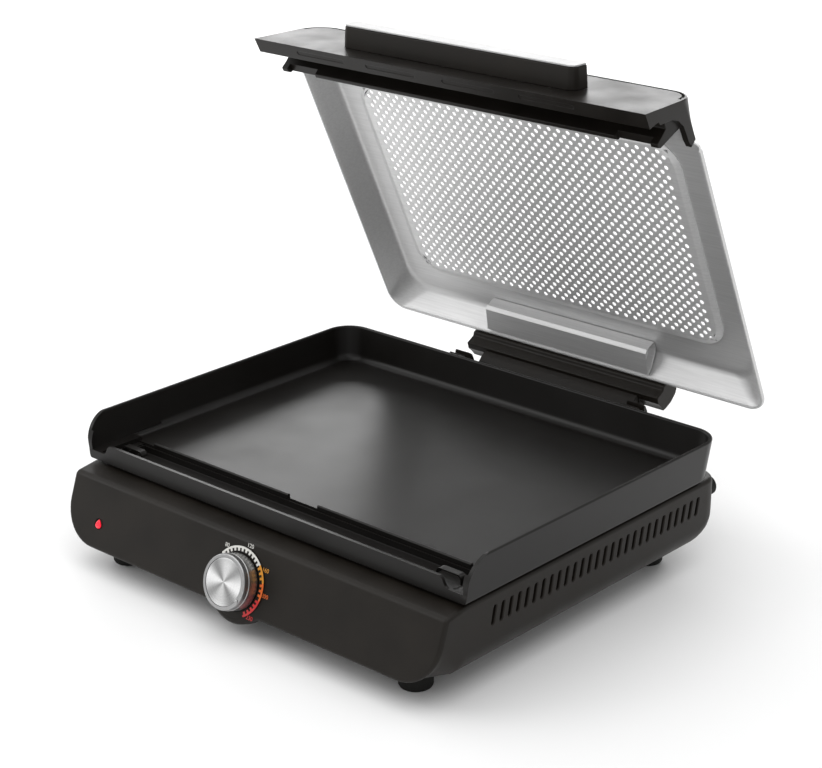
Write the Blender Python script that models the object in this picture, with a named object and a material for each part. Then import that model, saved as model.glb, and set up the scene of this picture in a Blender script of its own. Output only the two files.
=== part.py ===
"""Electric griddle with a hinged mesh lid, a lift-off plate and a drip tray.

Lengths are in millimetres here and become metres in MM. +Z is up, -Y is the
front with the knob, and the origin is on the table under the middle of the
griddle with its lid standing open.
"""
import math

import bmesh
import bpy
from mathutils import Matrix, Vector

MM = 0.001
GAP = 0.3                      # clearance left between neighbouring pieces
Y_SHIFT = 11.2                 # moves the model so that its box is centred on Y

# Base housing
FOOT_H = 20.0                  # table to the underside of the housing
BASE_HALF = 199.5
BASE_WALL = 3.0
BASE_REAR = 136.0
SIDE_TOP = 73.2                # top edge of the side walls
DECK_TOP = 76.0
CREASE_Y, CREASE_Z = -198.3, 73.0
PANEL_FOOT_Y = -216.6          # bottom edge of the sloping front panel
SIDE_R, FRONT_R, REAR_R, HEEL_R = 18.3, 34.0, 15.0, 28.0
PANEL_TILT = math.atan2(CREASE_Y - PANEL_FOOT_Y, CREASE_Z - FOOT_H)
LOBE_R = 32.4                  # round lobe of the panel behind the knob
KNOB_UP = 22.8                 # knob centre, up the panel from its bottom edge
VENTS, VENT_PITCH, VENT_Y0 = 28, 9.36, -147.3
VENT_Z, VENT_H, VENT_W, VENT_SLANT = 58.0, 15.0, 3.4, 0.20
LOBE_FILLET = 19.3             # radius that leads the panel edge into the lobe
FEET = ((-156.0, -182.5), (156.0, -182.5), (-158.0, 98.0), (158.0, 98.0))
FOOT_R = 13.1
COVER_Z = 17.2                 # underside of the bottom cover
COVER_SCREWS = ((-166, -120), (166, -120), (-166, 40), (166, 40), (70, -197), (0, 104))
OPENING_X, OPENING_Y0, OPENING_Y1 = 160.0, -190.0, 96.0
REFLECTOR_POSTS = ((-120.0, -70.0), (120.0, -70.0), (-120.0, 80.0), (120.0, 80.0))
BUMPER_X, BUMPER_Z, BUMPER_R, BUMPER_OUT = 182.0, 59.0, 8.5, 12.0
GLAND_X, GLAND_Z, GLAND_R = -150.0, 56.0, 7.0
LAMP_X, LAMP_UP = -160.2, 21.6
TOWER = ((135.0, 44.0), (160.0, 50.0), (168.5, 60.0), (168.5, 96.0), (166.0, 101.0), (161.0, 104.5),
         (158.0, 104.5), (153.5, 101.0), (152.5, 97.0), (135.0, 92.0))

# Griddle plate
PLATE_TOP, PLATE_BOTTOM, FLOOR_Z = 113.8, 78.4, 83.0
RIM_HALF, FOOT_HALF = 205.5, 201.6
RIM_REAR, PLATE_REAR = 130.1, 126.0
PLATE_FRONT, STRIP_BACK, STRIP_TOP = -181.0, -178.4, 94.0
NOTCH_X0, NOTCH_X1, NOTCH_Z = 180.0, 198.2, 85.7
PLATE_WALL = 3.2
FLOOR_FRONT = -135.5
TROUGH_REAR, TROUGH_Z = -139.0, 74.2
LIP_X0, LIP_X1, LIP_TOP = 16.0, 170.0, 85.8

# Lid, measured closed: v forwards from its rear rim edge, h up from its rim
RIM_GAP = 0.5
LID_Y, LID_Z = 130.1, PLATE_TOP + RIM_GAP
LID_HALF = 205.5
LID_OPEN = math.radians(64.6)
HINGE_Y, HINGE_Z = 159.6, 66.0
PAN_TOP_H = 21.5
SCREEN_X, SCREEN_V0, SCREEN_V1 = 161.0, 48.3, 247.7
SCREEN_R, SCREEN_H = 20.0, 18.0
TRIM_HALF, TRIM_TAPER = 198.5, 3.5
VISOR_V, VISOR_H, VISOR_RISE, VISOR_LEN = 328.2, -39.2, math.radians(65.7), 73.6
VISOR_CORNER_R = 22.0
HANDLE_HALF, HANDLE_OUT, HANDLE_T0, HANDLE_T1 = 119.0, 17.6, 20.5, 39.0
ARM_X0, ARM_X1 = 62.0, 84.0
TOWER_X0, TOWER_X1 = 86.0, 104.0
PIN_R = 3.0
SWEEP_R = 39.3                 # the hinge bar clears the tower tops by this radius
PAN_NOTCH_X, PAN_NOTCH_V = 190.0, 266.5
# (h, side inset, rear inset, front edge v, rear corner radius)
PAN_OUTER = ((0.0, 1.0, 1.0, 285.0, 17.0), (0.8, 0.0, 0.0, 286.0, 18.0), (3.0, 0.0, 0.0, 286.0, 18.0),
             (4.2, 2.0, 2.0, 283.0, 17.0), (8.0, 5.2, 5.1, 268.4, 18.6), (19.4, 15.0, 14.5, 262.6, 24.0),
             (PAN_TOP_H, 19.4, 18.9, 259.4, 24.0))
PAN_INNER = ((-2.0, 2.4, 2.4, 284.6, 16.0), (2.0, 2.4, 2.4, 284.6, 16.0), (7.0, 5.9, 5.8, 267.6, 17.6),
             (18.0, 15.2, 14.7, 262.4, 23.0), (20.3, 20.2, 19.8, 258.8, 23.0))
TRIM_STATIONS = (-198.5, -196.5, -192.0, -185.0, -176.5, 176.5, 185.0, 192.0, 196.5, 198.5)
TRIM_UNDER = ((267.2, 3.4), (273.9, 1.8), (280.5, 1.5), (288.5, 0.5), (295.9, -3.5), (301.5, -9.4),
              (304.9, -16.0), (308.8, -25.6), (312.6, -27.2), (314.6, -38.6))
TRIM_LEG = ((286.9, 4.0), (287.0, -26.0), (289.0, -28.4), (292.4, -28.4), (294.6, -21.5), (297.2, -15.6),
            (306.0, -15.6), (306.0, 4.0))
HINGE_BAR = ((-3.2, -4.0), (-4.0, -13.5), (-18.0, -15.6), (-21.0, -12.0), (-21.8, -6.0), (-21.4, 2.0),
             (-18.5, 9.5), (-15.5, 12.8), (-6.0, 14.5), (4.8, 14.4), (1.6, 8.0), (-0.5, 5.0), (-0.5, -2.0))
BRACE = ((4.0, 2.0), (6.0, 0.6), (24.5, 6.0), (27.0, 9.0), (27.0, 19.8), (20.9, 19.8), (16.6, 17.6),
         (7.4, 8.6))

# Knob
KNOB_R, KNOB_H = 21.9, 16.0
SHAFT_R = 3.0

BLACK = ((0.028, 0.026, 0.024), 0.45, 0.0)
COATING = ((0.030, 0.029, 0.028), 0.38, 0.0)
STEEL = ((0.60, 0.60, 0.60), 0.30, 1.0)
CHROME = ((0.75, 0.75, 0.76), 0.12, 1.0)
RUBBER = ((0.02, 0.02, 0.02), 0.8, 0.0)
TIN = ((0.55, 0.55, 0.53), 0.45, 1.0)
RED = ((0.75, 0.02, 0.05), 0.3, 0.0)
CREAM = ((0.75, 0.72, 0.62), 0.6, 0.0)
COPPER = ((0.70, 0.36, 0.20), 0.35, 1.0)
GREEN = ((0.12, 0.42, 0.14), 0.5, 0.0)


def clear_scene():
    for old in list(bpy.data.objects):
        bpy.data.objects.remove(old, do_unlink=True)


def material(name, look):
    colour, rough, metal = look
    mat = bpy.data.materials.new(name)
    mat.use_nodes = True
    shader = mat.node_tree.nodes["Principled BSDF"]
    shader.inputs["Base Color"].default_value = (*colour, 1.0)
    shader.inputs["Roughness"].default_value = rough
    shader.inputs["Metallic"].default_value = metal
    return mat


def empty(name, place):
    obj = bpy.data.objects.new(name, None)
    bpy.context.scene.collection.objects.link(obj)
    obj.matrix_world = place
    return obj


def make(name, bm, look, parent=None, smooth=True):
    """Turn a bmesh in millimetres into a named object in metres."""
    bmesh.ops.recalc_face_normals(bm, faces=bm.faces)
    bmesh.ops.scale(bm, vec=(MM, MM, MM), verts=bm.verts)
    mesh = bpy.data.meshes.new(name)
    bm.to_mesh(mesh)
    bm.free()
    obj = bpy.data.objects.new(name, mesh)
    bpy.context.scene.collection.objects.link(obj)
    if look:
        mesh.materials.append(material(name, look))
    if smooth:
        mesh.shade_smooth()
        mesh.set_sharp_from_angle(angle=math.radians(35))
    if parent:
        obj.parent = parent
    return obj


def boolean(obj, bm, operation):
    """Cut a tool shape out of an object, or join it on, and hide the tool."""
    tool = make(obj.name + "_tool", bm, None, smooth=False)
    tool.hide_render = True
    tool.display_type = "WIRE"
    tool.parent = obj.parent
    step = obj.modifiers.new(operation.lower(), "BOOLEAN")
    step.operation = operation
    step.solver = "EXACT"
    step.object = tool
    return obj


def cut(obj, *shapes):
    for bm in shapes:
        boolean(obj, bm, "DIFFERENCE")
    return obj


def join(obj, *shapes):
    for bm in shapes:
        boolean(obj, bm, "UNION")
    return obj


def group(*shapes):
    """One bmesh that holds several separate shapes."""
    whole = bmesh.new()
    for bm in shapes:
        mesh = bpy.data.meshes.new("part")
        bm.to_mesh(mesh)
        bm.free()
        whole.from_mesh(mesh)
        bpy.data.meshes.remove(mesh)
    return whole


def loft(loops):
    """Closed body through loops that have the same number of points."""
    bm = bmesh.new()
    rings = [[bm.verts.new(p) for p in loop] for loop in loops]
    count = len(rings[0])
    for low, high in zip(rings, rings[1:]):
        for i in range(count):
            j = (i + 1) % count
            bm.faces.new((low[i], low[j], high[j], high[i]))
    bm.faces.new(rings[0][::-1])
    bm.faces.new(rings[-1])
    return bm


def box(x0, x1, y0, y1, z0, z1):
    loop = [(x0, y0), (x1, y0), (x1, y1), (x0, y1)]
    return loft([[(x, y, z) for x, y in loop] for z in (z0, z1)])


def prism_x(outline, x0, x1):
    """Outline of (y, z) points carried along X."""
    return loft([[(x, y, z) for y, z in outline] for x in (x0, x1)])


def prism_z(outline, z0, z1):
    return loft([[(x, y, z) for x, y in outline] for z in (z0, z1)])


def arc(cx, cy, r, a0, a1, steps):
    """Points on an arc, with its angles in degrees."""
    angles = [math.radians(a0 + (a1 - a0) * i / steps) for i in range(steps + 1)]
    return [(cx + r * math.cos(a), cy + r * math.sin(a)) for a in angles]


def round_rect(hx, y0, y1, r_front, r_rear, steps=5):
    return (arc(-hx + r_front, y0 + r_front, r_front, 180, 270, steps)
            + arc(hx - r_front, y0 + r_front, r_front, 270, 360, steps)
            + arc(hx - r_rear, y1 - r_rear, r_rear, 0, 90, steps)
            + arc(-hx + r_rear, y1 - r_rear, r_rear, 90, 180, steps))


def turned(profile, sides, place=Matrix()):
    """Body turned about Z from (radius, z) points, its ends closed by flats."""
    bm = loft([[(r * math.cos(2 * math.pi * i / sides), r * math.sin(2 * math.pi * i / sides), z)
                for i in range(sides)] for r, z in profile])
    bmesh.ops.transform(bm, matrix=place, verts=bm.verts)
    return bm


def rod(start, end, r, sides=12):
    """Round rod between two points."""
    a, b = Vector(start), Vector(end)
    place = Matrix.Translation(a) @ (b - a).to_track_quat("Z", "Y").to_matrix().to_4x4()
    return turned([(r, 0), (r, (b - a).length)], sides, place)


def swept(points, r, sides=8):
    """Round tube along a path of points."""
    path = [Vector(p) for p in points]
    loops = []
    side = None
    for i, here in enumerate(path):
        before, after = path[max(i - 1, 0)], path[min(i + 1, len(path) - 1)]
        along = (after - before).normalized()
        if side is None:
            side = along.orthogonal().normalized()
        side = (side - along * side.dot(along)).normalized()
        other = along.cross(side)
        loops.append([here + r * (math.cos(t) * side + math.sin(t) * other)
                      for t in (2 * math.pi * k / sides for k in range(sides))])
    return loft(loops)


def smooth_path(points, steps=5):
    """Catmull-Rom curve through a short list of points."""
    pts = [Vector(points[0])] + [Vector(p) for p in points] + [Vector(points[-1])]
    out = []
    for a, b, c, d in zip(pts, pts[1:], pts[2:], pts[3:]):
        for k in range(steps):
            t = k / steps
            out.append(0.5 * (2 * b + (c - a) * t + (2 * a - 5 * b + 4 * c - d) * t * t
                              + (3 * b - a - 3 * c + d) * t ** 3))
    return out + [pts[-1]]


def transform(bm, place):
    bmesh.ops.transform(bm, matrix=place, verts=bm.verts)
    return bm


def mirror_x(outline):
    return [(-x, y) for x, y in outline[::-1]]


# ---------------------------------------------------------------- base

def panel_frame():
    """Frame on the front panel: Z out of it, Y up it, origin at its bottom edge."""
    turn = Matrix.Rotation(math.radians(90) - PANEL_TILT, 4, "X")
    return Matrix.Translation((0, PANEL_FOOT_Y, FOOT_H)) @ turn


def base_section(y, inset):
    """Outline of the housing across its width at one distance back."""
    lead = min(max((-186.0 - y) / 24.0, 0.0), 1.0)
    radius = SIDE_R + (FRONT_R - SIDE_R) * lead - inset
    half = BASE_HALF - inset
    bottom = FOOT_H + inset
    tail = y - (BASE_REAR - REAR_R)
    if tail > 0:
        half -= REAR_R - math.sqrt(max(REAR_R ** 2 - tail ** 2, 0.0))
    heel = y - (BASE_REAR - HEEL_R)
    if heel > 0:
        bottom += HEEL_R - math.sqrt(max(HEEL_R ** 2 - heel ** 2, 0.0))
    top = SIDE_TOP - inset
    deck = DECK_TOP - inset
    right = arc(half - radius, bottom + radius, radius, 270, 360, 8)
    right += [(half, max(top, bottom + radius + 1)), (half - 3.5, max(deck, bottom + radius + 3))]
    return [(x, y, z) for x, z in right + mirror_x(right)]


def base_body(inset):
    """Housing outline as a solid, cut to the sloping panel and the front band."""
    rear = BASE_REAR - inset
    stations = [-226.0, -210.0, -204.0, -198.0, -192.0, -186.0, 108.0]
    stations += [BASE_REAR - HEEL_R + HEEL_R * math.sin(math.radians(a)) for a in (15, 27, 38, 50, 63)]
    stations = [y for y in stations if y < rear - 1.0] + [rear]
    bm = loft([base_section(y, inset) for y in stations])
    place = panel_frame()
    outward = (place.to_3x3() @ Vector((0, 0, 1))).normalized()
    on_panel = place @ Vector((0, 0, -inset))
    slice_off(bm, on_panel, outward)
    band = Vector((0, -(DECK_TOP - CREASE_Z), 20.3)).normalized()
    slice_off(bm, Vector((0, CREASE_Y, CREASE_Z - inset)), band)
    return bm


def slice_off(bm, point, outward):
    """Cut away what lies beyond a plane and close the cut."""
    geometry = list(bm.verts) + list(bm.edges) + list(bm.faces)
    bmesh.ops.bisect_plane(bm, geom=geometry, plane_co=point, plane_no=outward, clear_outer=True)
    bmesh.ops.holes_fill(bm, edges=[e for e in bm.edges if e.is_boundary])


def vent_outline(y):
    """Round-ended slot whose top leans towards the rear."""
    r, reach = VENT_W / 2, (VENT_H - VENT_W) / 2
    ends = arc(y, VENT_Z + reach, r, 0, 180, 3) + arc(y, VENT_Z - reach, r, 180, 360, 3)
    return [(py + VENT_SLANT * (pz - VENT_Z), pz) for py, pz in ends]


def vent_row(side):
    x0, x1 = side * (BASE_HALF - BASE_WALL - 2), side * (BASE_HALF + 2)
    slots = [vent_outline(VENT_Y0 + VENT_PITCH * i) for i in range(VENTS)]
    return group(*[prism_x(s, min(x0, x1), max(x0, x1)) for s in slots])


def panel_tab():
    """Rounded tab that hangs below the panel's edge under the knob."""
    reach = math.sqrt((LOBE_R + LOBE_FILLET) ** 2 - (KNOB_UP + LOBE_FILLET) ** 2)
    meet = math.degrees(math.atan2(KNOB_UP + LOBE_FILLET, reach))
    right = arc(0, KNOB_UP, LOBE_R, -90, -meet, 5)[1:]
    right += arc(reach, -LOBE_FILLET, LOBE_FILLET, 180 - meet, 90, 4)[1:]
    right += [(reach, 8.0)]
    outline = right + mirror_x(right) + [(0, KNOB_UP - LOBE_R)]
    bm = transform(prism_z(outline, -9.0, 0.0), panel_frame())
    slice_off(bm, Vector((0, 0, FOOT_H - GAP)), Vector((0, 0, 1)))
    make("panel_tab", bm, BLACK)


def tower(side):
    """Hinge tower on the back wall, with an open slot for the pin."""
    x0, x1 = sorted((side * TOWER_X0, side * TOWER_X1))
    return prism_x(TOWER, x0, x1)


def tower_slots():
    slot = PIN_R + GAP
    outline = [(HINGE_Y - slot, 110), (HINGE_Y - slot, HINGE_Z)]
    outline += arc(HINGE_Y, HINGE_Z, slot, 180, 360, 8)[1:-1]
    outline += [(HINGE_Y + slot, HINGE_Z), (HINGE_Y + slot, 110)]
    return group(*[prism_x(outline, s * 95 - 11, s * 95 + 11) for s in (-1, 1)])


def housing():
    shell = make("housing_shell", base_body(0.0), BLACK)
    join(shell, tower(-1), tower(1))
    cut(shell, base_body(BASE_WALL))
    place = panel_frame()
    bosses = [rod((sx, sy, FOOT_H + 1.5), (sx, sy, FOOT_H + 12), 5.0, 12) for sx, sy in COVER_SCREWS]
    join(shell, group(*bosses), gland_boss())
    holes = [rod((sx, sy, FOOT_H - 2), (sx, sy, FOOT_H + 10), 1.8, 10) for sx, sy in COVER_SCREWS]
    shaft = turned([(SHAFT_R + 1.2, -16), (SHAFT_R + 1.2, 4)], 20,
                   place @ Matrix.Translation((0, KNOB_UP, 0)))
    lamp = turned([(4.3, -8), (4.3, 4)], 20, place @ Matrix.Translation((LAMP_X, LAMP_UP, 0)))
    cut(shell, group(vent_row(-1), vent_row(1)),
        group(box(-OPENING_X, OPENING_X, OPENING_Y0, OPENING_Y1, FOOT_H - 5, FOOT_H + 6),
              box(-186, 186, -177.6, 117, 68, 84), *holes),
        group(shaft, lamp), tower_slots(),
        rod((GLAND_X, 120, GLAND_Z), (GLAND_X, 150, GLAND_Z), GLAND_R + GAP, 20))
    return shell


def gland_boss():
    return rod((GLAND_X, 131, GLAND_Z), (GLAND_X, 139, GLAND_Z), 12.0, 24)


def bottom_cover():
    outline = round_rect(176.0, -204.0, 112.0, 16.0, 10.0)
    cover = make("bottom_cover", prism_z(outline, COVER_Z, FOOT_H - GAP), BLACK)
    holes = [rod((x, y, 10), (x, y, 24), 2.1, 10) for x, y in COVER_SCREWS]
    slots = [box(-60 + 20 * i, -52 + 20 * i, -30, 30, 10, 24) for i in range(7)]
    return cut(cover, group(*holes), group(*slots))


def feet():
    for x, y in FEET:
        name = "foot_" + ("front", "rear")[y > 0] + ("_left", "_right")[x > 0]
        profile = [(FOOT_R - 2.6, 0), (FOOT_R - 0.8, 0.8), (FOOT_R, 2.5), (FOOT_R, COVER_Z - GAP)]
        make(name, turned(profile, 28, Matrix.Translation((x, y, 0))), RUBBER)


def cover_screws():
    for i, (x, y) in enumerate(COVER_SCREWS):
        profile = [(3.4, 15.0), (3.6, 16.9), (1.5, 16.91), (1.5, 28.0)]
        make("cover_screw_%d" % (i + 1), turned(profile, 12, Matrix.Translation((x, y, 0))), TIN)


def rear_bumpers():
    for side, name in ((-1, "rear_bumper_left"), (1, "rear_bumper_right")):
        profile = [(BUMPER_R, 0.3), (BUMPER_R, BUMPER_OUT - 2.0), (BUMPER_R - 2.0, BUMPER_OUT)]
        place = Matrix.Translation((side * BUMPER_X, BASE_REAR, BUMPER_Z))
        place = place @ Matrix.Rotation(math.radians(-90), 4, "X")
        make(name, turned(profile, 20, place), RUBBER)


def reflector():
    outer = round_rect(181.0, -130.0, 114.0, 10.0, 10.0, 3)
    inner = round_rect(180.0, -129.0, 113.0, 9.0, 9.0, 3)
    for i, (x, y) in enumerate(REFLECTOR_POSTS):
        make("reflector_post_%d" % (i + 1), rod((x, y, FOOT_H), (x, y, 45.0 - GAP), 5.0, 12), TIN)
    tray = make("heat_reflector", prism_z(outer, 45.0, 70.0), TIN)
    return cut(tray, prism_z(inner, 46.0, 75.0), box(-34, 34, -126, -104, 40, 50),
               box(-8, 14, -42, -22, 40, 50))


def element_path():
    """Serpentine under the plate whose inner end drops to the terminals."""
    path = [(18, -112, 40), (18, -112, 60), (20, -106, 71), (24, -92, 73.6)]
    run = [(24, y) for y in (-70, -30, 10, 50)]
    run += arc(46, 70, 22, 180, 0, 6)
    run += [(68, y) for y in (40, -10, -60)]
    run += arc(90, -70, 22, 180, 360, 6)
    run += [(112, y) for y in (-40, 20, 60)]
    run += arc(134, 76, 22, 180, 90, 3)
    return path + [(x, y, 73.6) for x, y in run] + [(150, 98, 73.6), (160, 96, 73.6)]


def heating_element():
    right = element_path()
    left = [(-x, y, z) for x, y, z in right]
    for name, path in (("heating_element_right", right), ("heating_element_left", left)):
        make(name, swept(path, 3.3, 8), STEEL)


def plate_pads():
    for i, (x, y) in enumerate(((-178, -120), (178, -120), (-178, 122), (178, 122))):
        if y < 0:
            x = math.copysign(191.0, x)
        make("plate_pad_%d" % (i + 1), turned([(4.5, DECK_TOP + GAP), (4.0, PLATE_BOTTOM - GAP)], 16,
                                              Matrix.Translation((x, y, 0))), RUBBER)


def controls():
    place = panel_frame() @ Matrix.Translation((0, KNOB_UP, 0))
    body = loft([[(x, y, z) for x, y in round_rect(19, -10, 17, 2, 2, 1)] for z in (-28.0, -10.0)])
    make("thermostat", transform(body, place), CREAM)
    tongue = loft([[(x, y, z) for x, y in round_rect(9, -3, 3, 0.5, 0.5, 1)] for z in (-36.0, -28.3)])
    make("thermostat_terminals", transform(tongue, place), COPPER)
    dial = turned([(27.4, 0.3), (27.4, 0.9)], 48, place)
    dial = make("dial_ring", dial, CREAM)
    cut(dial, turned([(22.6, -1), (22.6, 2)], 40, place))
    lamp_place = panel_frame() @ Matrix.Translation((LAMP_X, LAMP_UP, 0))
    lens = turned([(4.0, -6.0), (4.0, 0.2), (3.0, 1.0), (1.2, 1.4)], 20, lamp_place)
    make("pilot_lens", lens, RED)
    make("pilot_lamp", turned([(2.5, -14), (2.5, -6.4)], 14, lamp_place), RED)
    make("terminal_block", box(-172, -132, 84, 104, 24.0, 40.0), CREAM)
    gland = [(10.5, 3.4), (10.5, 8.5), (GLAND_R - 1, 12.0)]
    turn = Matrix.Translation((GLAND_X, BASE_REAR, GLAND_Z)) @ Matrix.Rotation(math.radians(-90), 4, "X")
    gland = make("cord_gland", turned([(GLAND_R, -8.0), (GLAND_R, 3.3)] + gland, 20, turn), RUBBER)
    cut(gland, turned([(3.4, -9.0), (3.4, 14.0)], 16, turn))
    make("temperature_probe", turned([(5.0, 60), (5.0, 77.9)], 16, Matrix.Translation((0, -30, 0))), COPPER)
    capillary = smooth_path([(6, -176, 39), (9, -150, 41), (6, -110, 42), (3, -60, 41),
                             (1, -36, 42), (0, -30, 48), (0, -30, 59.7)])
    make("capillary_tube", swept(capillary, 1.0, 6), COPPER)


def wires():
    """Insulated leads between the terminal block, the thermostat and the element."""
    routes = {
        "wire_live": [(-140, 83.5, 33), (-140, 40, 29), (-100, -60, 29), (-40, -150, 30), (-8, -172, 33)],
        "wire_element_left": [(-18, -112, 37.6), (-20, -120, 33), (-16, -140, 36), (-10, -164, 40)],
        "wire_element_right": [(18, -112, 37.6), (60, -80, 30), (80, 20, 28), (0, 92, 28), (-131.5, 94, 32)],
    }
    for name, route in routes.items():
        make(name, swept(smooth_path(route), 1.6, 8), RED if name == "wire_live" else BLACK)
    make("wire_earth", swept(smooth_path([(-150, 83.5, 30), (-150, 60, 27), (-128, 62, 29),
                                          (-112, 74, 40), (-110, 80, 42.6)]), 1.6, 8), GREEN)


def base_assembly():
    housing()
    panel_tab()
    bottom_cover()
    feet()
    cover_screws()
    rear_bumpers()
    reflector()
    heating_element()
    plate_pads()
    controls()
    wires()


# ---------------------------------------------------------------- plate and tray

def plate_outer():
    loops = []
    for z, half, rear, r in ((PLATE_BOTTOM, FOOT_HALF - 1.5, PLATE_REAR - 1.5, 20.0),
                             (PLATE_BOTTOM + 3, FOOT_HALF, PLATE_REAR, 21.0),
                             (PLATE_TOP - 1, RIM_HALF, RIM_REAR, 24.0),
                             (PLATE_TOP, RIM_HALF - 0.8, RIM_REAR - 0.8, 23.2)):
        loops.append([(x, y, z) for x, y in round_rect(half, PLATE_FRONT, rear, 0.5, r)])
    return loft(loops)


def plate_hollow():
    loops = []
    for z, inset, r in ((FLOOR_Z, 6.5, 17.0), (FLOOR_Z + 1.2, 4.2, 18.0), (FLOOR_Z + 4.0, PLATE_WALL, 19.0),
                        (PLATE_TOP + 3, PLATE_WALL, 21.5)):
        grow = (RIM_HALF - FOOT_HALF) * (z - PLATE_BOTTOM) / (PLATE_TOP - PLATE_BOTTOM)
        half, rear = FOOT_HALF + grow - inset, PLATE_REAR + grow - inset
        loops.append([(x, y, z) for x, y in round_rect(half, FLOOR_FRONT, rear, 1.0, r)])
    return loft(loops)


def front_bay():
    """Space between the side walls, in front of the cooking floor."""
    half = FOOT_HALF - PLATE_WALL
    outline = [(-half, STRIP_BACK), (half, STRIP_BACK), (half + 1, FLOOR_FRONT + 6),
               (-half - 1, FLOOR_FRONT + 6)]
    return prism_z(outline, NOTCH_Z, PLATE_TOP + 3)


def wall_profile():
    """What is cut off the front of the side walls, seen from the side."""
    return [(-186, NOTCH_Z - 4), (-181.2, NOTCH_Z - 4), (-180.6, 86.0), (-178.6, 91.5), (-175.0, 98.6),
            (-171.0, 104.8), (-166.6, 109.8), (-161.0, 113.0), (-155.0, PLATE_TOP + 0.5), (-155.0, 120.0),
            (-186, 120.0)]


def strip_cut():
    """Space above the low front wall, with its notched ends."""
    right = [(NOTCH_X1, 120.0), (NOTCH_X1, NOTCH_Z), (NOTCH_X0 + 5, NOTCH_Z), (NOTCH_X0 + 2, NOTCH_Z + 2.5),
             (NOTCH_X0 - 1, STRIP_TOP - 2.5), (NOTCH_X0 - 4, STRIP_TOP)]
    outline = right + mirror_x(right)
    return loft([[(x, y, z) for x, z in outline] for y in (PLATE_FRONT - 4, STRIP_BACK + 0.5)])


def griddle_plate(parent):
    plate = make("griddle_plate", plate_outer(), COATING, parent)
    join(plate, box(-184.5, 184.5, -176.6, TROUGH_REAR + 1.6, TROUGH_Z - 1.8, PLATE_BOTTOM + 1))
    cut(plate, plate_hollow(), front_bay(), strip_cut())
    cut(plate, group(*[prism_x(wall_profile(), s * 204 - 7.2, s * 204 + 7.2) for s in (-1, 1)]))
    trough = prism_z(round_rect(182.7, -174.8, TROUGH_REAR, 1.0, 1.0, 1), TROUGH_Z, 100)
    ledge = box(-189, 189, STRIP_BACK, TROUGH_REAR + 0.4, FLOOR_Z - 1.0, 100)
    cut(plate, trough, ledge, box(-189, 189, TROUGH_REAR, FLOOR_FRONT + 3, FLOOR_Z, 100))
    lips = [box(*sorted((s * LIP_X0, s * LIP_X1)), FLOOR_FRONT - 3.5, FLOOR_FRONT - 0.5, FLOOR_Z - 1, LIP_TOP)
            for s in (-1, 1)]
    return join(plate, group(*lips))


def drip_tray(parent):
    outer = prism_z(round_rect(182.0, -174.2, TROUGH_REAR - 0.6, 1.5, 1.5, 1), TROUGH_Z + 0.4, 81.5)
    inner = prism_z(round_rect(180.8, -173.0, TROUGH_REAR - 1.8, 1.0, 1.0, 1), TROUGH_Z + 1.6, 90)
    tray = make("drip_tray", outer, COATING, parent)
    cut(tray, inner)
    for side in (-1, 1):
        for x0, x1, z0, z1 in ((181.0, 181.9, 80.0, 88.4), (158.0, 181.9, 87.4, 88.6),
                               (158.0, 159.2, 84.0, 88.4)):
            join(tray, box(*sorted((side * x0, side * x1)), -163, -157, z0, z1))
    return tray


# ---------------------------------------------------------------- lid

def lid_point(x, v, h):
    """Closed lid coordinates to a place relative to the hinge axis."""
    return (x, LID_Y - v - HINGE_Y, LID_Z + h - HINGE_Z)


def lid_prism(outline, x0, x1):
    return loft([[lid_point(x, v, h) for v, h in outline] for x in (x0, x1)])


def lid_slab(outline, h0, h1):
    return loft([[lid_point(x, v, h) for x, v in outline] for h in (h0, h1)])


def pan_loops(levels):
    """Rounded rectangles of (h, side inset, rear inset, front edge, corner radius)."""
    loops = []
    for h, side, rear, front, r in levels:
        outline = [(x, rear + front - v) for x, v in round_rect(LID_HALF - side, rear, front, r, 8.0, 6)]
        loops.append([lid_point(x, front + rear - v, h) for x, v in outline])
    return loft(loops)


def lid_pan(parent):
    pan = make("lid_pan", pan_loops(PAN_OUTER), STEEL, parent)
    window = screen_loops(((PAN_TOP_H - 4.0, 2.0), (PAN_TOP_H + 4.0, 2.0)))
    notches = []
    for side in (-1, 1):
        x0, x1 = sorted((side * PAN_NOTCH_X, side * 215))
        notches.append(lid_slab([(x0, PAN_NOTCH_V), (x1, PAN_NOTCH_V), (x1, 295), (x0, 295)], -8, 30))
    return cut(pan, pan_loops(PAN_INNER), window, group(*notches))


def screen_loops(levels):
    """Body through rounded outlines at (h, how far each stands outside the flat field)."""
    return loft([[lid_point(x, v, h) for x, v in round_rect(SCREEN_X + out, SCREEN_V0 - out, SCREEN_V1 + out,
                                                            SCREEN_R + out, SCREEN_R + out, 4)]
                 for h, out in levels])


def lid_screen(parent):
    """Sheet that is drawn down below the pan's top, with a sloping edge."""
    screen = make("lid_screen", screen_loops(((SCREEN_H, 0.0), (SCREEN_H + 2.0, 5.5))), STEEL, parent)
    return cut(screen, screen_loops(((SCREEN_H + 1.0, -0.6), (SCREEN_H + 1.8, 1.6), (SCREEN_H + 5.0, 1.6))))


def visor_face(t, out):
    """(v, h) of a point up the visor's face from its front edge, a distance in front of it."""
    c, s = math.cos(VISOR_RISE), math.sin(VISOR_RISE)
    return (VISOR_V - t * c + out * s, VISOR_H + t * s + out * c)


def trim_profile(x):
    """Outside of the visor at one place across the lid, front bottom edge first."""
    bow = max(abs(x) - (TRIM_HALF - VISOR_CORNER_R), 0.0)
    back = VISOR_CORNER_R - math.sqrt(VISOR_CORNER_R ** 2 - bow ** 2)
    crest, rear = visor_face(VISOR_LEN - back, -1.5), (269.0, 10.9)
    middle = [0.5 * (a + b) for a, b in zip(crest, rear)]
    return [visor_face(0.0, 0.0), visor_face(VISOR_LEN - back - 3.0, 0.0), crest, middle, rear]


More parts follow.
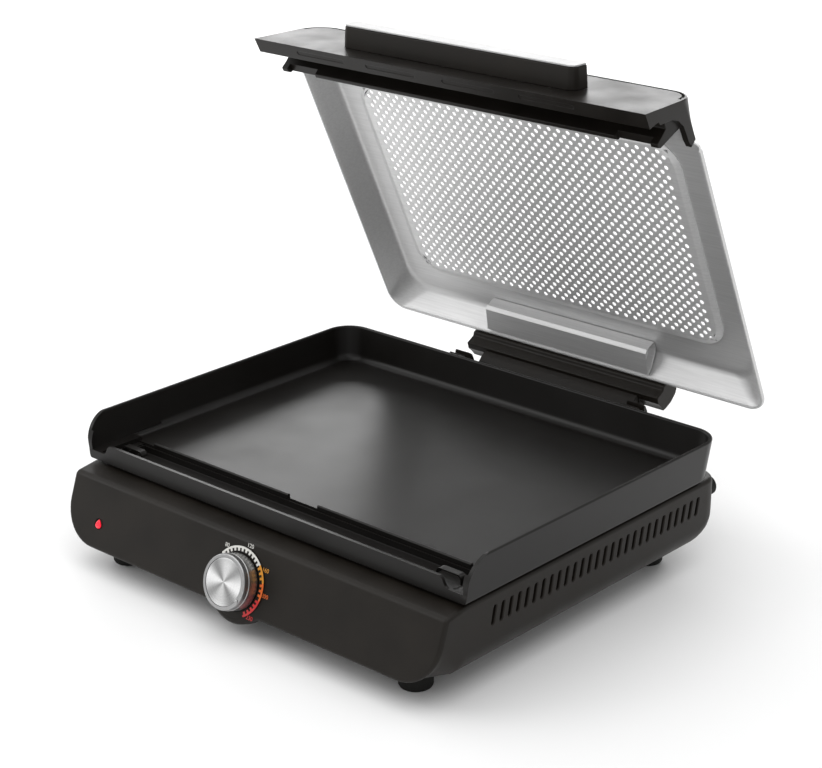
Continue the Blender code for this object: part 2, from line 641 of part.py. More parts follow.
def lid_trim(parent):
    """Plastic visor across the front of the lid, with cheeks and an inner leg."""
    loops = []
    for x in TRIM_STATIONS:
        section = trim_profile(x) + list(TRIM_UNDER)
        loops.append([lid_point(x * (1.0 - TRIM_TAPER / TRIM_HALF * (h + 39.2) / 48.0), v, h)
                      for v, h in section])
    trim = make("lid_trim", loft(loops), BLACK, parent)
    relief = [(255.0, -10.0), (255.0, 8.6), (269.4, 8.6), (286.8, 6.6), (286.8, -10.0)]
    channel = [(303.0, -60.0), (303.0, -15.4), (310.8, -15.4), (312.9, -20.0), (314.4, -38.6), (314.4, -60.0)]
    tab_room = [(280.0, -60.0), (280.0, -23.5), (300.0, -23.5), (300.0, -60.0)]
    cut(trim, lid_prism(relief, -PAN_NOTCH_X - 0.5, PAN_NOTCH_X + 0.5))
    join(trim, lid_prism(TRIM_LEG, -192.5, 192.5))
    rooms = [lid_prism(tab_room, *sorted((s * 154.0, s * 186.0))) for s in (-1, 1)]
    return cut(trim, lid_prism(channel, -193.0, 193.0), group(*rooms))


def on_visor(outline, out):
    """Outline of (x, t) points on the visor's face, a distance in front of it."""
    return [lid_point(x, *visor_face(t, out)) for x, t in outline]


def lid_handle(parent):
    bar = [on_visor(round_rect(HANDLE_HALF - inset, HANDLE_T0 + inset, HANDLE_T1 - inset, 7.0, 3.0, 4), out)
           for out, inset in ((GAP, 0.0), (HANDLE_OUT - 1.0, 1.0), (HANDLE_OUT, 1.8))]
    make("handle_bar", loft(bar), BLACK, parent)
    plate = round_rect(HANDLE_HALF - 2.0, HANDLE_T0 + 2.0, HANDLE_T1 - 2.0, 5.0, 2.0, 3)
    insert = loft([on_visor(plate, HANDLE_OUT + out) for out in (GAP, GAP + 1.2)])
    make("handle_insert", insert, STEEL, parent)


def lid_hinge_parts(parent):
    bar = make("hinge_bar", lid_prism(HINGE_BAR, -105.0, 105.0), BLACK, parent)
    cut(bar, *[rod((s * (TOWER_X0 - 1.2), 0, 0), (s * 110, 0, 0), SWEEP_R, 64) for s in (-1, 1)])
    barrel = arc(LID_Y - HINGE_Y, HINGE_Z - LID_Z, 9.0, 100, 330, 10)
    arm = [(-19.5, -13.0)] + barrel + [(-8.0, -20.0), (-7.0, -13.0)]
    join(bar, lid_prism(arm, -ARM_X1, ARM_X1))
    cut(bar, group(*[rod((s * (ARM_X0 - 2), 0, 0), (s * (ARM_X1 + 2), 0, 0), PIN_R + 0.25, 16)
                     for s in (-1, 1)]))
    make("hinge_brace", lid_prism(BRACE, -88.0, 88.0), STEEL, parent)


def hinge_pins(parent):
    for side, name in ((-1, "hinge_pin_left"), (1, "hinge_pin_right")):
        x0, x1 = ARM_X0 + 0.5, TOWER_X1 + 4.0
        profile = [(PIN_R, 0.0), (PIN_R, TOWER_X1 + 0.4 - x0), (PIN_R + 2.2, TOWER_X1 + 0.5 - x0),
                   (PIN_R + 2.2, x1 - x0)]
        turn = Matrix.Rotation(side * math.pi / 2, 4, "Y")
        place = Matrix.Translation((side * x0, HINGE_Y, HINGE_Z)) @ turn
        make(name, turned(profile, 16, place), STEEL, parent)


def lid_fasteners(parent):
    """Screws that hold the hinge bar to the pan, driven from behind."""
    for i, x in enumerate((-90.0, -30.0, 30.0, 90.0)):
        head, seat = lid_point(x, -24.4, 4.0), lid_point(x, -21.9, 4.0)
        make("hinge_screw_%d" % (i + 1), rod(head, seat, 3.2, 12), TIN, parent)


def lid_assembly(carrier):
    turn = Matrix.Translation((0, HINGE_Y * MM, HINGE_Z * MM)) @ Matrix.Rotation(-LID_OPEN, 4, "X")
    axis = empty("lid_axis", turn)
    axis.parent = carrier
    lid_pan(axis)
    lid_screen(axis)
    lid_trim(axis)
    lid_handle(axis)
    lid_hinge_parts(axis)
    lid_fasteners(axis)
    hinge_pins(carrier)


# ---------------------------------------------------------------- knob

def knob_assembly():
    place = panel_frame() @ Matrix.Translation((0, KNOB_UP, 0))
    place.translation *= MM
    axis = empty("knob_axis", place)
    skirt = [(KNOB_R - 0.6, 1.2), (KNOB_R, 1.8), (KNOB_R, KNOB_H - 0.8), (KNOB_R - 0.8, KNOB_H)]
    knob = make("knob_body", turned(skirt, 48), CHROME, axis)
    cut(knob, turned([(KNOB_R - 3.4, KNOB_H - 1.2), (KNOB_R - 3.4, KNOB_H + 2)], 40),
        turned([(SHAFT_R + 0.05, 0), (SHAFT_R + 0.05, 11.0)], 20))
    make("knob_cap", turned([(KNOB_R - 3.8, KNOB_H - 0.9), (KNOB_R - 3.8, KNOB_H - 0.1)], 40), CHROME, axis)
    pointer = turned([(1.6, KNOB_H + 0.2), (1.2, KNOB_H + 1.2)], 14,
                     Matrix.Rotation(math.radians(-120), 4, "Z") @ Matrix.Translation((0, KNOB_R - 1.9, 0)))
    make("knob_pointer", pointer, CHROME, axis)
    make("knob_shaft", turned([(SHAFT_R, -9.6), (SHAFT_R, 10.6)], 20), TIN, axis)


def main():
    clear_scene()
    base_assembly()
    carrier = empty("lid_lift", Matrix())
    lift = empty("plate_lift", Matrix())
    griddle_plate(lift)
    drip_tray(lift)
    lid_assembly(carrier)
    knob_assembly()
    root = empty("griddle", Matrix.Translation((0, Y_SHIFT * MM, 0)))
    for obj in bpy.data.objects:
        if obj is not root and obj.parent is None:
            obj.parent = root


main()
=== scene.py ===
import math

import bmesh
import bpy
from mathutils import Matrix, Vector


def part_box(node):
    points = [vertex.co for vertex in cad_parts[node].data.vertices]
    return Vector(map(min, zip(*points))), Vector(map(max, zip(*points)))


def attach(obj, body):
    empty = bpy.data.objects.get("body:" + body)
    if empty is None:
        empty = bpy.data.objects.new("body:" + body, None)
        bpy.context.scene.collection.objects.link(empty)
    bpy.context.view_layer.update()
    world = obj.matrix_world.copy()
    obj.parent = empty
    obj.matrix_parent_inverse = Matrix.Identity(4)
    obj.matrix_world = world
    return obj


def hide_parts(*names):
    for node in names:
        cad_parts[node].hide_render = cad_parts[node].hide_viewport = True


# Looks of an electric griddle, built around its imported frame. Lengths are in
# millimetres and become metres in MM; +Z is up and -Y is the front.
MM = 0.001

# Housing
FOOT_H, BASE_HALF, BASE_REAR, BASE_WALL = 20.0, 199.5, 136.0, 3.0
DECK_TOP, DECK_FRONT = 76.0, -178.0
CREASE_Y, CREASE_Z, PANEL_FOOT_Y = -198.3, 73.0, -216.6
SIDE_R, FRONT_R, REAR_R, HEEL_R, SHOULDER_R = 18.3, 34.0, 15.0, 28.0, 3.6
PANEL_TILT = math.atan2(CREASE_Y - PANEL_FOOT_Y, CREASE_Z - FOOT_H)
BAND_TILT = math.atan2(DECK_TOP - CREASE_Z, DECK_FRONT - CREASE_Y)
PANEL_LEN = math.hypot(CREASE_Y - PANEL_FOOT_Y, CREASE_Z - FOOT_H)
PANEL_EDGE = 3.2               # rounding round the front panel
TAB_DEPTH = 9.0
LOBE_R, LOBE_FILLET, KNOB_UP = 32.4, 19.3, 22.8
VENTS, VENT_PITCH, VENT_Y0 = 28, 9.36, -147.3
VENT_Z, VENT_H, VENT_W, VENT_SLANT = 58.0, 15.0, 3.4, 0.20
COVER_SCREWS = ((-166, -120), (166, -120), (-166, 40), (166, 40), (70, -197), (0, 104))
GLAND_X, GLAND_Z, GLAND_R = -150.0, 56.0, 7.0
LAMP_X, LAMP_UP, LENS_W, LENS_H = -160.2, 21.6, 3.9, 3.7
COVER_HALF, COVER_FRONT, COVER_REAR = 160.0, -190.0, 96.0
WELL_HALF, WELL_FRONT, WELL_REAR = 186.0, -177.6, 117.0
TOWER = ((135.0, 44.0), (160.0, 50.0), (168.5, 60.0), (168.5, 96.0), (166.0, 101.0), (161.0, 104.5),
         (158.0, 104.5), (153.5, 101.0), (152.5, 97.0), (135.0, 92.0))

# Griddle plate and tray
PLATE_TOP, PLATE_BOTTOM, FLOOR_Z = 113.8, 78.4, 83.0
RIM_HALF, FOOT_HALF, RIM_REAR, PLATE_REAR = 205.5, 201.6, 130.1, 126.0
PLATE_FRONT, STRIP_BACK, STRIP_TOP = -181.0, -178.4, 94.0
NOTCH_X0, NOTCH_X1, NOTCH_Z = 180.0, 198.2, 85.7
PLATE_WALL, FLOOR_FRONT, LEDGE_HALF = 3.2, -135.5, 189.0
CURVE_Y, CURVE_Z, CURVE_R = -157.0, 89.8, 24.2
TROUGH_REAR, TROUGH_Z = -139.0, 74.2
TRAY_HALF, TRAY_FRONT, TRAY_GAP = 182.0, -174.2, 0.6
STRAP_OUT, STRAP_IN, STRAP_TOP, STRAP_R, STRAP_THICK = 181.9, 158.0, 88.5, 4.0, 1.1
STRAP_FRONT, STRAP_REAR = -163.0, -157.0
LIP_X0, LIP_X1, LIP_TOP = 16.0, 170.0, 85.8

# Lid, measured closed: v forwards from its rear rim edge, h up from its rim
LID_Y, LID_Z, LID_HALF = 130.1, PLATE_TOP + 0.5, 205.5
LID_OPEN = math.radians(64.6)
HINGE_Y, HINGE_Z = 159.6, 66.0
SCREEN_X, SCREEN_V0, SCREEN_V1, SCREEN_R, SCREEN_H = 161.0, 48.3, 247.7, 20.0, 18.0
HOLE_R, HOLE_PITCH, ROW_PITCH, HOLE_ROWS, HOLES_ACROSS = 2.05, 9.58, 4.87, 40, 33
TRIM_HALF, TRIM_TAPER, TRIM_RISE = 198.5, 3.5, 48.0
VISOR_V, VISOR_H, VISOR_RISE, VISOR_LEN, VISOR_CORNER_R = 328.2, -39.2, math.radians(65.7), 73.6, 22.0
HANDLE_HALF, HANDLE_OUT, HANDLE_T0, HANDLE_T1 = 119.0, 17.6, 20.5, 39.0
ARM_X1, TOWER_X0, TOWER_X1, PIN_R, SWEEP_R = 84.0, 86.0, 104.0, 3.0, 39.3
PAN_NOTCH_X, PAN_NOTCH_V = 190.0, 266.5
# (h, side inset, rear inset, front edge v, rear corner radius)
PAN_OUTER = ((0.0, 1.3, 1.3, 284.7, 16.7), (0.3, 0.5, 0.5, 285.5, 17.5), (1.2, 0.0, 0.0, 286.0, 18.0),
             (3.0, 0.0, 0.0, 286.0, 18.0), (4.0, 0.9, 0.9, 285.0, 17.1), (4.4, 2.4, 2.4, 282.5, 16.6),
             (8.0, 5.2, 5.1, 268.4, 18.6), (17.6, 13.4, 13.0, 263.3, 23.0), (19.8, 15.5, 15.1, 261.6, 24.0),
             (21.0, 17.4, 17.0, 260.2, 24.0), (21.5, 20.4, 20.0, 258.0, 24.0))
PAN_INNER = ((-2.0, 2.4, 2.4, 284.6, 16.0), (0.6, 2.4, 2.4, 284.6, 16.0), (2.0, 2.7, 2.7, 284.2, 16.0),
             (7.0, 5.9, 5.8, 267.6, 17.6), (16.6, 13.6, 13.2, 262.9, 22.4), (18.8, 15.7, 15.3, 261.4, 23.0),
             (19.9, 18.0, 17.6, 259.8, 23.0), (20.3, 21.2, 20.8, 257.6, 23.0))
TRIM_UNDER = ((267.2, 3.4), (273.9, 1.8), (280.5, 1.5), (288.5, 0.5), (295.9, -3.5), (301.5, -9.4),
              (304.9, -16.0), (308.8, -25.6), (312.6, -27.2), (314.6, -38.6))
TRIM_LEG = ((286.9, 4.0), (287.0, -26.0), (289.0, -28.4), (292.4, -28.4), (294.6, -21.5), (297.2, -15.6),
            (306.0, -15.6), (306.0, 4.0))
# Rooms in the visor for the pan, the tray's tabs and the plate's front strip
PAN_ROOM = ((255.0, -10.0), (255.0, 8.6), (269.4, 8.6), (286.8, 6.6), (286.8, -10.0))
TAB_ROOM = ((280.0, -60.0), (280.0, -23.5), (300.0, -23.5), (300.0, -60.0))
STRIP_ROOM = ((303.0, -60.0), (303.0, -15.4), (310.8, -15.4), (312.9, -20.0), (314.4, -38.6), (314.4, -60.0))
HINGE_BAR = ((-3.2, -4.0), (-4.0, -13.5), (-18.0, -15.6), (-21.0, -12.0), (-21.8, -6.0), (-21.4, 2.0),
             (-18.5, 9.5), (-15.5, 12.8), (-6.0, 14.5), (4.8, 14.4), (1.6, 8.0), (-0.5, 5.0), (-0.5, -2.0))
BRACE_HALF, BRACE_END, BRACE_MIDDLE = 88.0, 7.0, (17.0, 12.0)
BRACE = ((4.0, 2.0), (6.0, 0.6), (24.5, 6.0), (27.0, 9.0), (27.0, 19.8), (20.9, 19.8), (16.6, 17.6),
         (7.4, 8.6))

# Knob and dial
KNOB_R, KNOB_H, SHAFT_R = 21.9, 16.0, 3.0
DIAL_R, DIAL_IN, POINTER_ANGLE, NUMBER_SIZE = 27.4, 22.6, -120, 4.6
BANDS = (("white", -52, 46), ("amber", 46, 76), ("orange", 76, 106), ("red", 106, 151))
SCALE = ((80, -38, "white"), (120, 10, "white"), (160, 57, "amber"), (200, 95, "orange"), (230, 140, "red"))

# Camera, round the point it looks at
VIEW_AZIMUTH, VIEW_ELEVATION, VIEW_ROLL = math.radians(41.76), math.radians(20.88), math.radians(0.03)
VIEW_TARGET, VIEW_DISTANCE, VIEW_LENS = Vector((-12.46, 0.78, 138.3)), 1723.59, 93.11


# ---------------------------------------------------------------- mesh helpers

def transform(bm, place):
    bmesh.ops.transform(bm, matrix=place, verts=bm.verts)
    return bm


def add_mesh(name, bm, mat=None):
    """Turn a bmesh in millimetres into an object in metres, moved into the row frame."""
    bmesh.ops.recalc_face_normals(bm, faces=bm.faces)
    transform(bm, Matrix.Scale(MM, 4) @ Matrix.Translation((0, SHIFT, 0)))
    mesh = bpy.data.meshes.new(name)
    bm.to_mesh(mesh)
    bm.free()
    obj = bpy.data.objects.new(name, mesh)
    bpy.context.scene.collection.objects.link(obj)
    if mat:
        mesh.materials.append(mat)
    return obj


def bake(obj):
    """Apply the object's modifiers and remove the shapes that cut it."""
    bpy.context.view_layer.update()
    graph = bpy.context.evaluated_depsgraph_get()
    mesh = bpy.data.meshes.new_from_object(obj.evaluated_get(graph))
    tools = [step.object for step in obj.modifiers if step.type == "BOOLEAN"]
    obj.modifiers.clear()
    obj.data = mesh
    for tool in tools:
        bpy.data.objects.remove(tool, do_unlink=True)
    return obj


def combine(obj, operation, tools):
    for tool in tools:
        step = obj.modifiers.new(operation.lower(), "BOOLEAN")
        step.operation, step.solver, step.object = operation, "EXACT", tool
    return bake(obj)


def cut(obj, *shapes):
    return combine(obj, "DIFFERENCE", [add_mesh("tool", bm) for bm in shapes])


def join(obj, *shapes):
    return combine(obj, "UNION", [add_mesh("tool", bm) for bm in shapes])


def bevel(obj, width, segments=3, angle=30):
    """Round the edges that are sharper than an angle in degrees."""
    step = obj.modifiers.new("bevel", "BEVEL")
    step.width, step.segments = width * MM, segments
    step.limit_method, step.angle_limit = "ANGLE", math.radians(angle)
    return bake(obj)


def shade(obj, angle=35):
    """Smooth shading that keeps large faces flat and edges above an angle sharp."""
    obj.data.shade_smooth()
    obj.data.set_sharp_from_angle(angle=math.radians(angle))
    step = obj.modifiers.new("normals", "WEIGHTED_NORMAL")
    step.keep_sharp = True
    return bake(obj)


def piece(obj, body, slot, *nodes, angle=35):
    """Finish a piece: smooth shading, the body it rides on and the nodes it stands for."""
    shade(obj, angle)
    if nodes:
        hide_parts(*nodes)
    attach(obj, body)
    return obj


def group(*shapes):
    """One bmesh that holds several separate shapes."""
    whole = bmesh.new()
    for bm in shapes:
        mesh = bpy.data.meshes.new("part")
        bm.to_mesh(mesh)
        bm.free()
        whole.from_mesh(mesh)
        bpy.data.meshes.remove(mesh)
    return whole


def skin(bm, rings):
    """Faces between rings with the same number of vertices."""
    count = len(rings[0])
    for low, high in zip(rings, rings[1:]):
        for i in range(count):
            j = (i + 1) % count
            bm.faces.new((low[i], low[j], high[j], high[i]))


def loft(loops):
    """Closed body through loops with the same number of points."""
    bm = bmesh.new()
    rings = [[bm.verts.new(p) for p in loop] for loop in loops]
    skin(bm, rings)
    bm.faces.new(rings[0][::-1])
    bm.faces.new(rings[-1])
    return bm


def box(x0, x1, y0, y1, z0, z1):
    loop = [(x0, y0), (x1, y0), (x1, y1), (x0, y1)]
    return loft([[(x, y, z) for x, y in loop] for z in (z0, z1)])


def prism_x(outline, x0, x1):
    return loft([[(x, y, z) for y, z in outline] for x in (x0, x1)])


def prism_z(outline, z0, z1):
    return loft([[(x, y, z) for x, y in outline] for z in (z0, z1)])


def arc(cx, cy, r, a0, a1, steps):
    """Points on an arc, with its angles in degrees."""
    angles = [math.radians(a0 + (a1 - a0) * i / steps) for i in range(steps + 1)]
    return [(cx + r * math.cos(a), cy + r * math.sin(a)) for a in angles]


def round_rect(hx, y0, y1, r_front, r_rear, steps=10):
    return (arc(-hx + r_front, y0 + r_front, r_front, 180, 270, steps)
            + arc(hx - r_front, y0 + r_front, r_front, 270, 360, steps)
            + arc(hx - r_rear, y1 - r_rear, r_rear, 0, 90, steps)
            + arc(-hx + r_rear, y1 - r_rear, r_rear, 90, 180, steps))


def circle(r, z, sides):
    turns = [2 * math.pi * i / sides for i in range(sides)]
    return [(r * math.cos(a), r * math.sin(a), z) for a in turns]


def turned(profile, sides, place=Matrix()):
    """Body turned about Z from (radius, z) points, its ends closed by flats."""
    return transform(loft([circle(r, z, sides) for r, z in profile]), place)


def rod(start, end, r, sides=24):
    a, b = Vector(start), Vector(end)
    place = Matrix.Translation(a) @ (b - a).to_track_quat("Z", "Y").to_matrix().to_4x4()
    return turned([(r, 0), (r, (b - a).length)], sides, place)


def mirror_x(outline):
    return [(-x, y) for x, y in outline[::-1]]


# ---------------------------------------------------------------- materials

class Finish:
    """A node material under construction."""

    def __init__(self, name, colour, rough, metal=0.0, sockets=None):
        self.mat = bpy.data.materials.new(name)
        self.mat.use_nodes = True
        self.nodes, self.links = self.mat.node_tree.nodes, self.mat.node_tree.links
        self.shader = self.nodes["Principled BSDF"]
        self.shader.inputs["Base Color"].default_value = (*colour, 1.0)
        self.shader.inputs["Roughness"].default_value = rough
        self.shader.inputs["Metallic"].default_value = metal
        for socket, value in (sockets or {}).items():
            self.shader.inputs[socket].default_value = value
        self.place = self.node("ShaderNodeTexCoord").outputs["Object"]
        self.relief = None

    def node(self, kind, **inputs):
        made = self.nodes.new(kind)
        for name, value in inputs.items():
            socket = made.inputs[name]
            if isinstance(value, bpy.types.NodeSocket):
                self.links.new(value, socket)
            else:
                socket.default_value = value
        return made

    def noise(self, scale, detail=3.0, stretch=(1, 1, 1)):
        spread = self.node("ShaderNodeMapping", Vector=self.place, Scale=stretch)
        made = self.node("ShaderNodeTexNoise", Vector=spread.outputs[0], Scale=scale, Detail=detail)
        return made.outputs["Fac"]

    def ramp(self, value, low, high, colours):
        """Colours along a value between two ends."""
        made = self.node("ShaderNodeValToRGB", Fac=value)
        for element, place, colour in zip(made.color_ramp.elements, (low, high), colours):
            element.position, element.color = place, (*colour, 1.0)
        return made.outputs["Color"]

    def span(self, value, low, high, start=0.3, end=0.7):
        """Map a noise value to a range of numbers."""
        made = self.nodes.new("ShaderNodeMapRange")
        self.links.new(value, made.inputs["Value"])
        for socket, number in zip(("From Min", "From Max", "To Min", "To Max"), (start, end, low, high)):
            made.inputs[socket].default_value = number
        return made.outputs["Result"]

    def sum(self, kind, operation, values):
        """Maths node with links or constants in its sockets."""
        made = self.nodes.new(kind)
        made.operation = operation
        for socket, value in zip(made.inputs, values):
            if isinstance(value, bpy.types.NodeSocket):
                self.links.new(value, socket)
            else:
                socket.default_value = value
        return made

    def math(self, operation, *values):
        return self.sum("ShaderNodeMath", operation, values).outputs[0]

    def vector(self, operation, *values):
        return self.sum("ShaderNodeVectorMath", operation, values)

    def set(self, socket, value):
        self.links.new(value, self.shader.inputs[socket])

    def bump(self, height, distance, strength=1.0):
        made = self.node("ShaderNodeBump", Height=height, Distance=distance, Strength=strength)
        if self.relief:
            self.links.new(self.relief, made.inputs["Normal"])
        self.relief = made.outputs["Normal"]
        self.set("Normal", self.relief)

    def soft_edges(self, radius):
        """Worn, slightly rounded edges."""
        made = self.node("ShaderNodeBevel", Radius=radius * MM)
        made.samples = 6
        self.relief = made.outputs["Normal"]
        self.set("Normal", self.relief)


def plastic(name, colour, rough, grain=0.5, edge=0.5):
    """Moulded plastic with a fine grain and faint cloudiness in its gloss."""
    finish = Finish(name, colour, rough, sockets={"Specular IOR Level": 0.2})
    finish.soft_edges(edge)
    cloud = finish.noise(30.0, 4.0)
    dark, light = [tuple(c * k for c in colour) for k in (0.85, 1.15)]
    finish.set("Base Color", finish.ramp(cloud, 0.35, 0.65, (dark, light)))
    finish.set("Roughness", finish.span(cloud, rough - 0.05, rough + 0.06))
    finish.bump(finish.noise(2600.0, 2.0), 0.00005, grain)
    return finish.mat


def coating():
    """Satin non-stick coating, finely stippled."""
    colour = (0.008, 0.0071, 0.0063)
    finish = Finish("nonstick_coating", colour, 0.30, sockets={"Specular IOR Level": 0.24})
    cloud = finish.noise(20.0, 3.0)
    dark, light = (0.0068, 0.0060, 0.0053), (0.0092, 0.0082, 0.0073)
    finish.set("Base Color", finish.ramp(cloud, 0.3, 0.7, (dark, light)))
    finish.set("Roughness", finish.span(cloud, 0.29, 0.35))
    finish.bump(finish.noise(2600.0, 1.0), 0.00003, 0.3)
    return finish.mat


def brushed_steel(name, value, rough, stretch, grain=0.25, metal=1.0):
    """Steel brushed along the axis with the small stretch."""
    finish = Finish(name, (value, value, value), rough, metal)
    finish.soft_edges(0.4)
    streaks = finish.noise(700.0, 4.0, stretch)
    cloud = finish.noise(8.0, 3.0)
    low, high = [(value * k,) * 3 for k in (0.93, 1.05)]
    finish.set("Base Color", finish.ramp(streaks, 0.3, 0.7, (low, high)))
    finish.set("Roughness", finish.span(cloud, rough - 0.04, rough + 0.05))
    finish.bump(streaks, 0.00003, grain)
    return finish.mat


def spun_metal(name, value, rough):
    """Turned face: concentric lines about the knob's axis, anisotropic highlights round it, and a painted
    highlight of bright and dark sectors in its colour.
    """
    finish = Finish(name, (value, value, value), rough, 1.0, {"Anisotropic": 0.9})
    right, up, out = [column.normalized() for column in KNOB_AXIS.to_3x3().col]
    arm = finish.vector("SUBTRACT", finish.place, KNOB_AXIS.translation).outputs["Vector"]
    round_it = finish.vector("CROSS_PRODUCT", arm, out).outputs["Vector"]
    finish.set("Tangent", finish.vector("NORMALIZE", round_it).outputs["Vector"])
    across, along = [finish.vector("DOT_PRODUCT", arm, axis).outputs["Value"] for axis in (right, up)]
    # Painted highlight: the base colour is lighter in sectors round the axis and darker between them,
    # standing in for the radial highlights of spun metal.
    turn = finish.math("MULTIPLY", finish.math("ARCTAN2", along, across), 2.0)
    painted_highlight = finish.math("POWER", finish.math("ABSOLUTE", finish.math("COSINE", turn)), 1.6)
    finish.set("Base Color", finish.ramp(painted_highlight, 0.05, 0.95, ((value * 0.42,) * 3, (value,) * 3)))
    lines = finish.nodes.new("ShaderNodeTexNoise")
    lines.noise_dimensions = "1D"
    finish.links.new(finish.vector("LENGTH", round_it).outputs["Value"], lines.inputs["W"])
    lines.inputs["Scale"].default_value = 3000.0
    finish.set("Roughness", finish.span(lines.outputs["Fac"], rough - 0.05, rough + 0.06))
    finish.bump(lines.outputs["Fac"], 0.00003, 0.3)
    return finish.mat


def painted(name, colour, rough=0.45):
    """Printed or enamelled colour with a little unevenness."""
    finish = Finish(name, colour, rough)
    cloud = finish.noise(300.0, 3.0)
    dark, light = [tuple(c * k for c in colour) for k in (0.9, 1.05)]
    finish.set("Base Color", finish.ramp(cloud, 0.35, 0.65, (dark, light)))
    finish.bump(finish.noise(1500.0), 0.00003, 0.3)
    return finish.mat


def lit_lens():
    """Red lens with its lamp on."""
    glass = {"Coat Weight": 0.4, "Emission Strength": 0.75}
    finish = Finish("lit_lens", (0.55, 0.005, 0.01), 0.15, 0.0, glass)
    glow = finish.noise(260.0, 2.0)
    finish.set("Emission Color", finish.ramp(glow, 0.35, 0.65, ((0.85, 0.0, 0.03), (1.0, 0.02, 0.06))))
    return finish.mat


# ---------------------------------------------------------------- base

PANEL = (Matrix.Translation((0, PANEL_FOOT_Y, FOOT_H))
         @ Matrix.Rotation(math.radians(90) - PANEL_TILT, 4, "X"))
KNOB_PLACE = PANEL @ Matrix.Translation((0, KNOB_UP, 0))
LAMP_PLACE = PANEL @ Matrix.Translation((LAMP_X, LAMP_UP, 0))


def shell_outline(half, bottom, radius, top, shoulder, inset=0.0, lobe=0.0):
    """Right half outline, bottom centre first; with a lobe its tab hangs below the edge.

    The lobe's points lie on the bottom edge where there is no tab, so that every
    section has the same points.
    """
    fillet = LOBE_FILLET + inset
    low = bottom + inset
    radius_in = LOBE_R - inset
    drop = KNOB_UP - (lobe + inset - fillet)
    reach = math.sqrt((radius_in + fillet) ** 2 - drop ** 2)
    meet = math.degrees(math.atan2(drop, reach))
    points = arc(0, KNOB_UP, radius_in, -90, -meet, 12)
    points += arc(reach, lobe + inset - fillet, fillet, 180 - meet, 90, 8)[1:]
    points = [(x, low + w - lobe - inset) for x, w in points]
    r = radius - inset
    points += arc(half - inset - r, low + r, r, 270, 360, 12)
    s = max(shoulder - inset, 0.4)
    points += arc(half - inset - s, top - inset - s, s, 0, 90, 5)
    return points


def flat_bottom(points, bottom, count=21):
    return [(x, bottom) if i < count else (x, w) for i, (x, w) in enumerate(points)]


def panel_section(inset, depth):
    """Section parallel to the front panel, a depth behind it."""
    bottom = depth * math.tan(PANEL_TILT)
    top = PANEL_LEN + depth * math.tan(PANEL_TILT + BAND_TILT)
    return shell_outline(BASE_HALF, bottom, FRONT_R, top, SHOULDER_R, inset, lobe=bottom)


def rear_section(y, inset=0.0):
    """Outline of the housing at one distance back."""
    half, bottom = BASE_HALF - inset, FOOT_H + inset
    tail = y - (BASE_REAR - REAR_R)
    if tail > 0:
        half -= REAR_R - math.sqrt(max(REAR_R ** 2 - tail ** 2, 0.0))
    heel = y - (BASE_REAR - HEEL_R)
    if heel > 0:
        bottom += HEEL_R - math.sqrt(max(HEEL_R ** 2 - heel ** 2, 0.0))
    deck = min(DECK_TOP, CREASE_Z + (y - CREASE_Y) * math.tan(BAND_TILT)) - inset
    points = shell_outline(half, bottom, SIDE_R - inset, deck, SHOULDER_R)
    return [(x, y, z) for x, z in both_sides(flat_bottom(points, bottom))]


def both_sides(points):
    return points + mirror_x(points)[:-1]


def shell_body():
    """Solid housing with its rounded front panel and the tab under the knob."""
    loops = []
    steps = 5
    for i in range(steps + 1):
        turn = math.radians(90 * i / steps)
        inset, depth = PANEL_EDGE * (1 - math.sin(turn)), PANEL_EDGE * (1 - math.cos(turn))
        loops.append([PANEL @ Vector((x, u, -depth)) for x, u in both_sides(panel_section(inset, depth))])
    whole = panel_section(0.0, TAB_DEPTH)
    loops.append([PANEL @ Vector((x, u, -TAB_DEPTH)) for x, u in both_sides(whole)])
    bare = flat_bottom(whole, TAB_DEPTH * math.tan(PANEL_TILT))
    loops.append([PANEL @ Vector((x, u, -TAB_DEPTH)) for x, u in both_sides(bare)])
    stations = [-185.0, DECK_FRONT, 108.0]
    stations += [BASE_REAR - HEEL_R + HEEL_R * math.sin(math.radians(a)) for a in range(12, 73, 10)]
    stations += [BASE_REAR]
    loops += [rear_section(y) for y in stations]
    bm = loft(loops)
    bmesh.ops.remove_doubles(bm, verts=bm.verts, dist=0.002)
    return bm


def shell_hollow():
    """Room inside the housing."""
    loops = [[PANEL @ Vector((x, u, -BASE_WALL)) for x, u in both_sides(
        flat_bottom(panel_section(BASE_WALL, BASE_WALL), BASE_WALL * math.tan(PANEL_TILT) + BASE_WALL))]]
    loops += [rear_section(y, BASE_WALL) for y in (-190.0, -175.0, 108.0, 118.0, 126.0, 131.0, 133.0)]
    return loft(loops)


def vent_cutter(side, y):
    """Leaning round-ended slot, widened where it meets the outside."""
    loops = []
    for out, grow in ((-6.0, 0.0), (-0.7, 0.0), (0.2, 0.8), (3.0, 0.8)):
        x = BASE_HALF + out
        r, reach = VENT_W / 2 + grow, (VENT_H - VENT_W) / 2
        ends = arc(y, VENT_Z + reach, r, 0, 180, 8) + arc(y, VENT_Z - reach, r, 180, 360, 8)
        loops.append([(side * x, py + VENT_SLANT * (pz - VENT_Z), pz) for py, pz in ends])
    return loft(loops)


def tower_slots():
    slot = PIN_R + 0.3
    outline = [(HINGE_Y - slot - 3, 110), (HINGE_Y - slot, 100), (HINGE_Y - slot, HINGE_Z)]
    outline += arc(HINGE_Y, HINGE_Z, slot, 180, 360, 12)[1:-1]
    outline += [(HINGE_Y + slot, HINGE_Z), (HINGE_Y + slot, 100), (HINGE_Y + slot + 3, 110)]
    return group(*[prism_x(outline, s * 95 - 11, s * 95 + 11) for s in (-1, 1)])


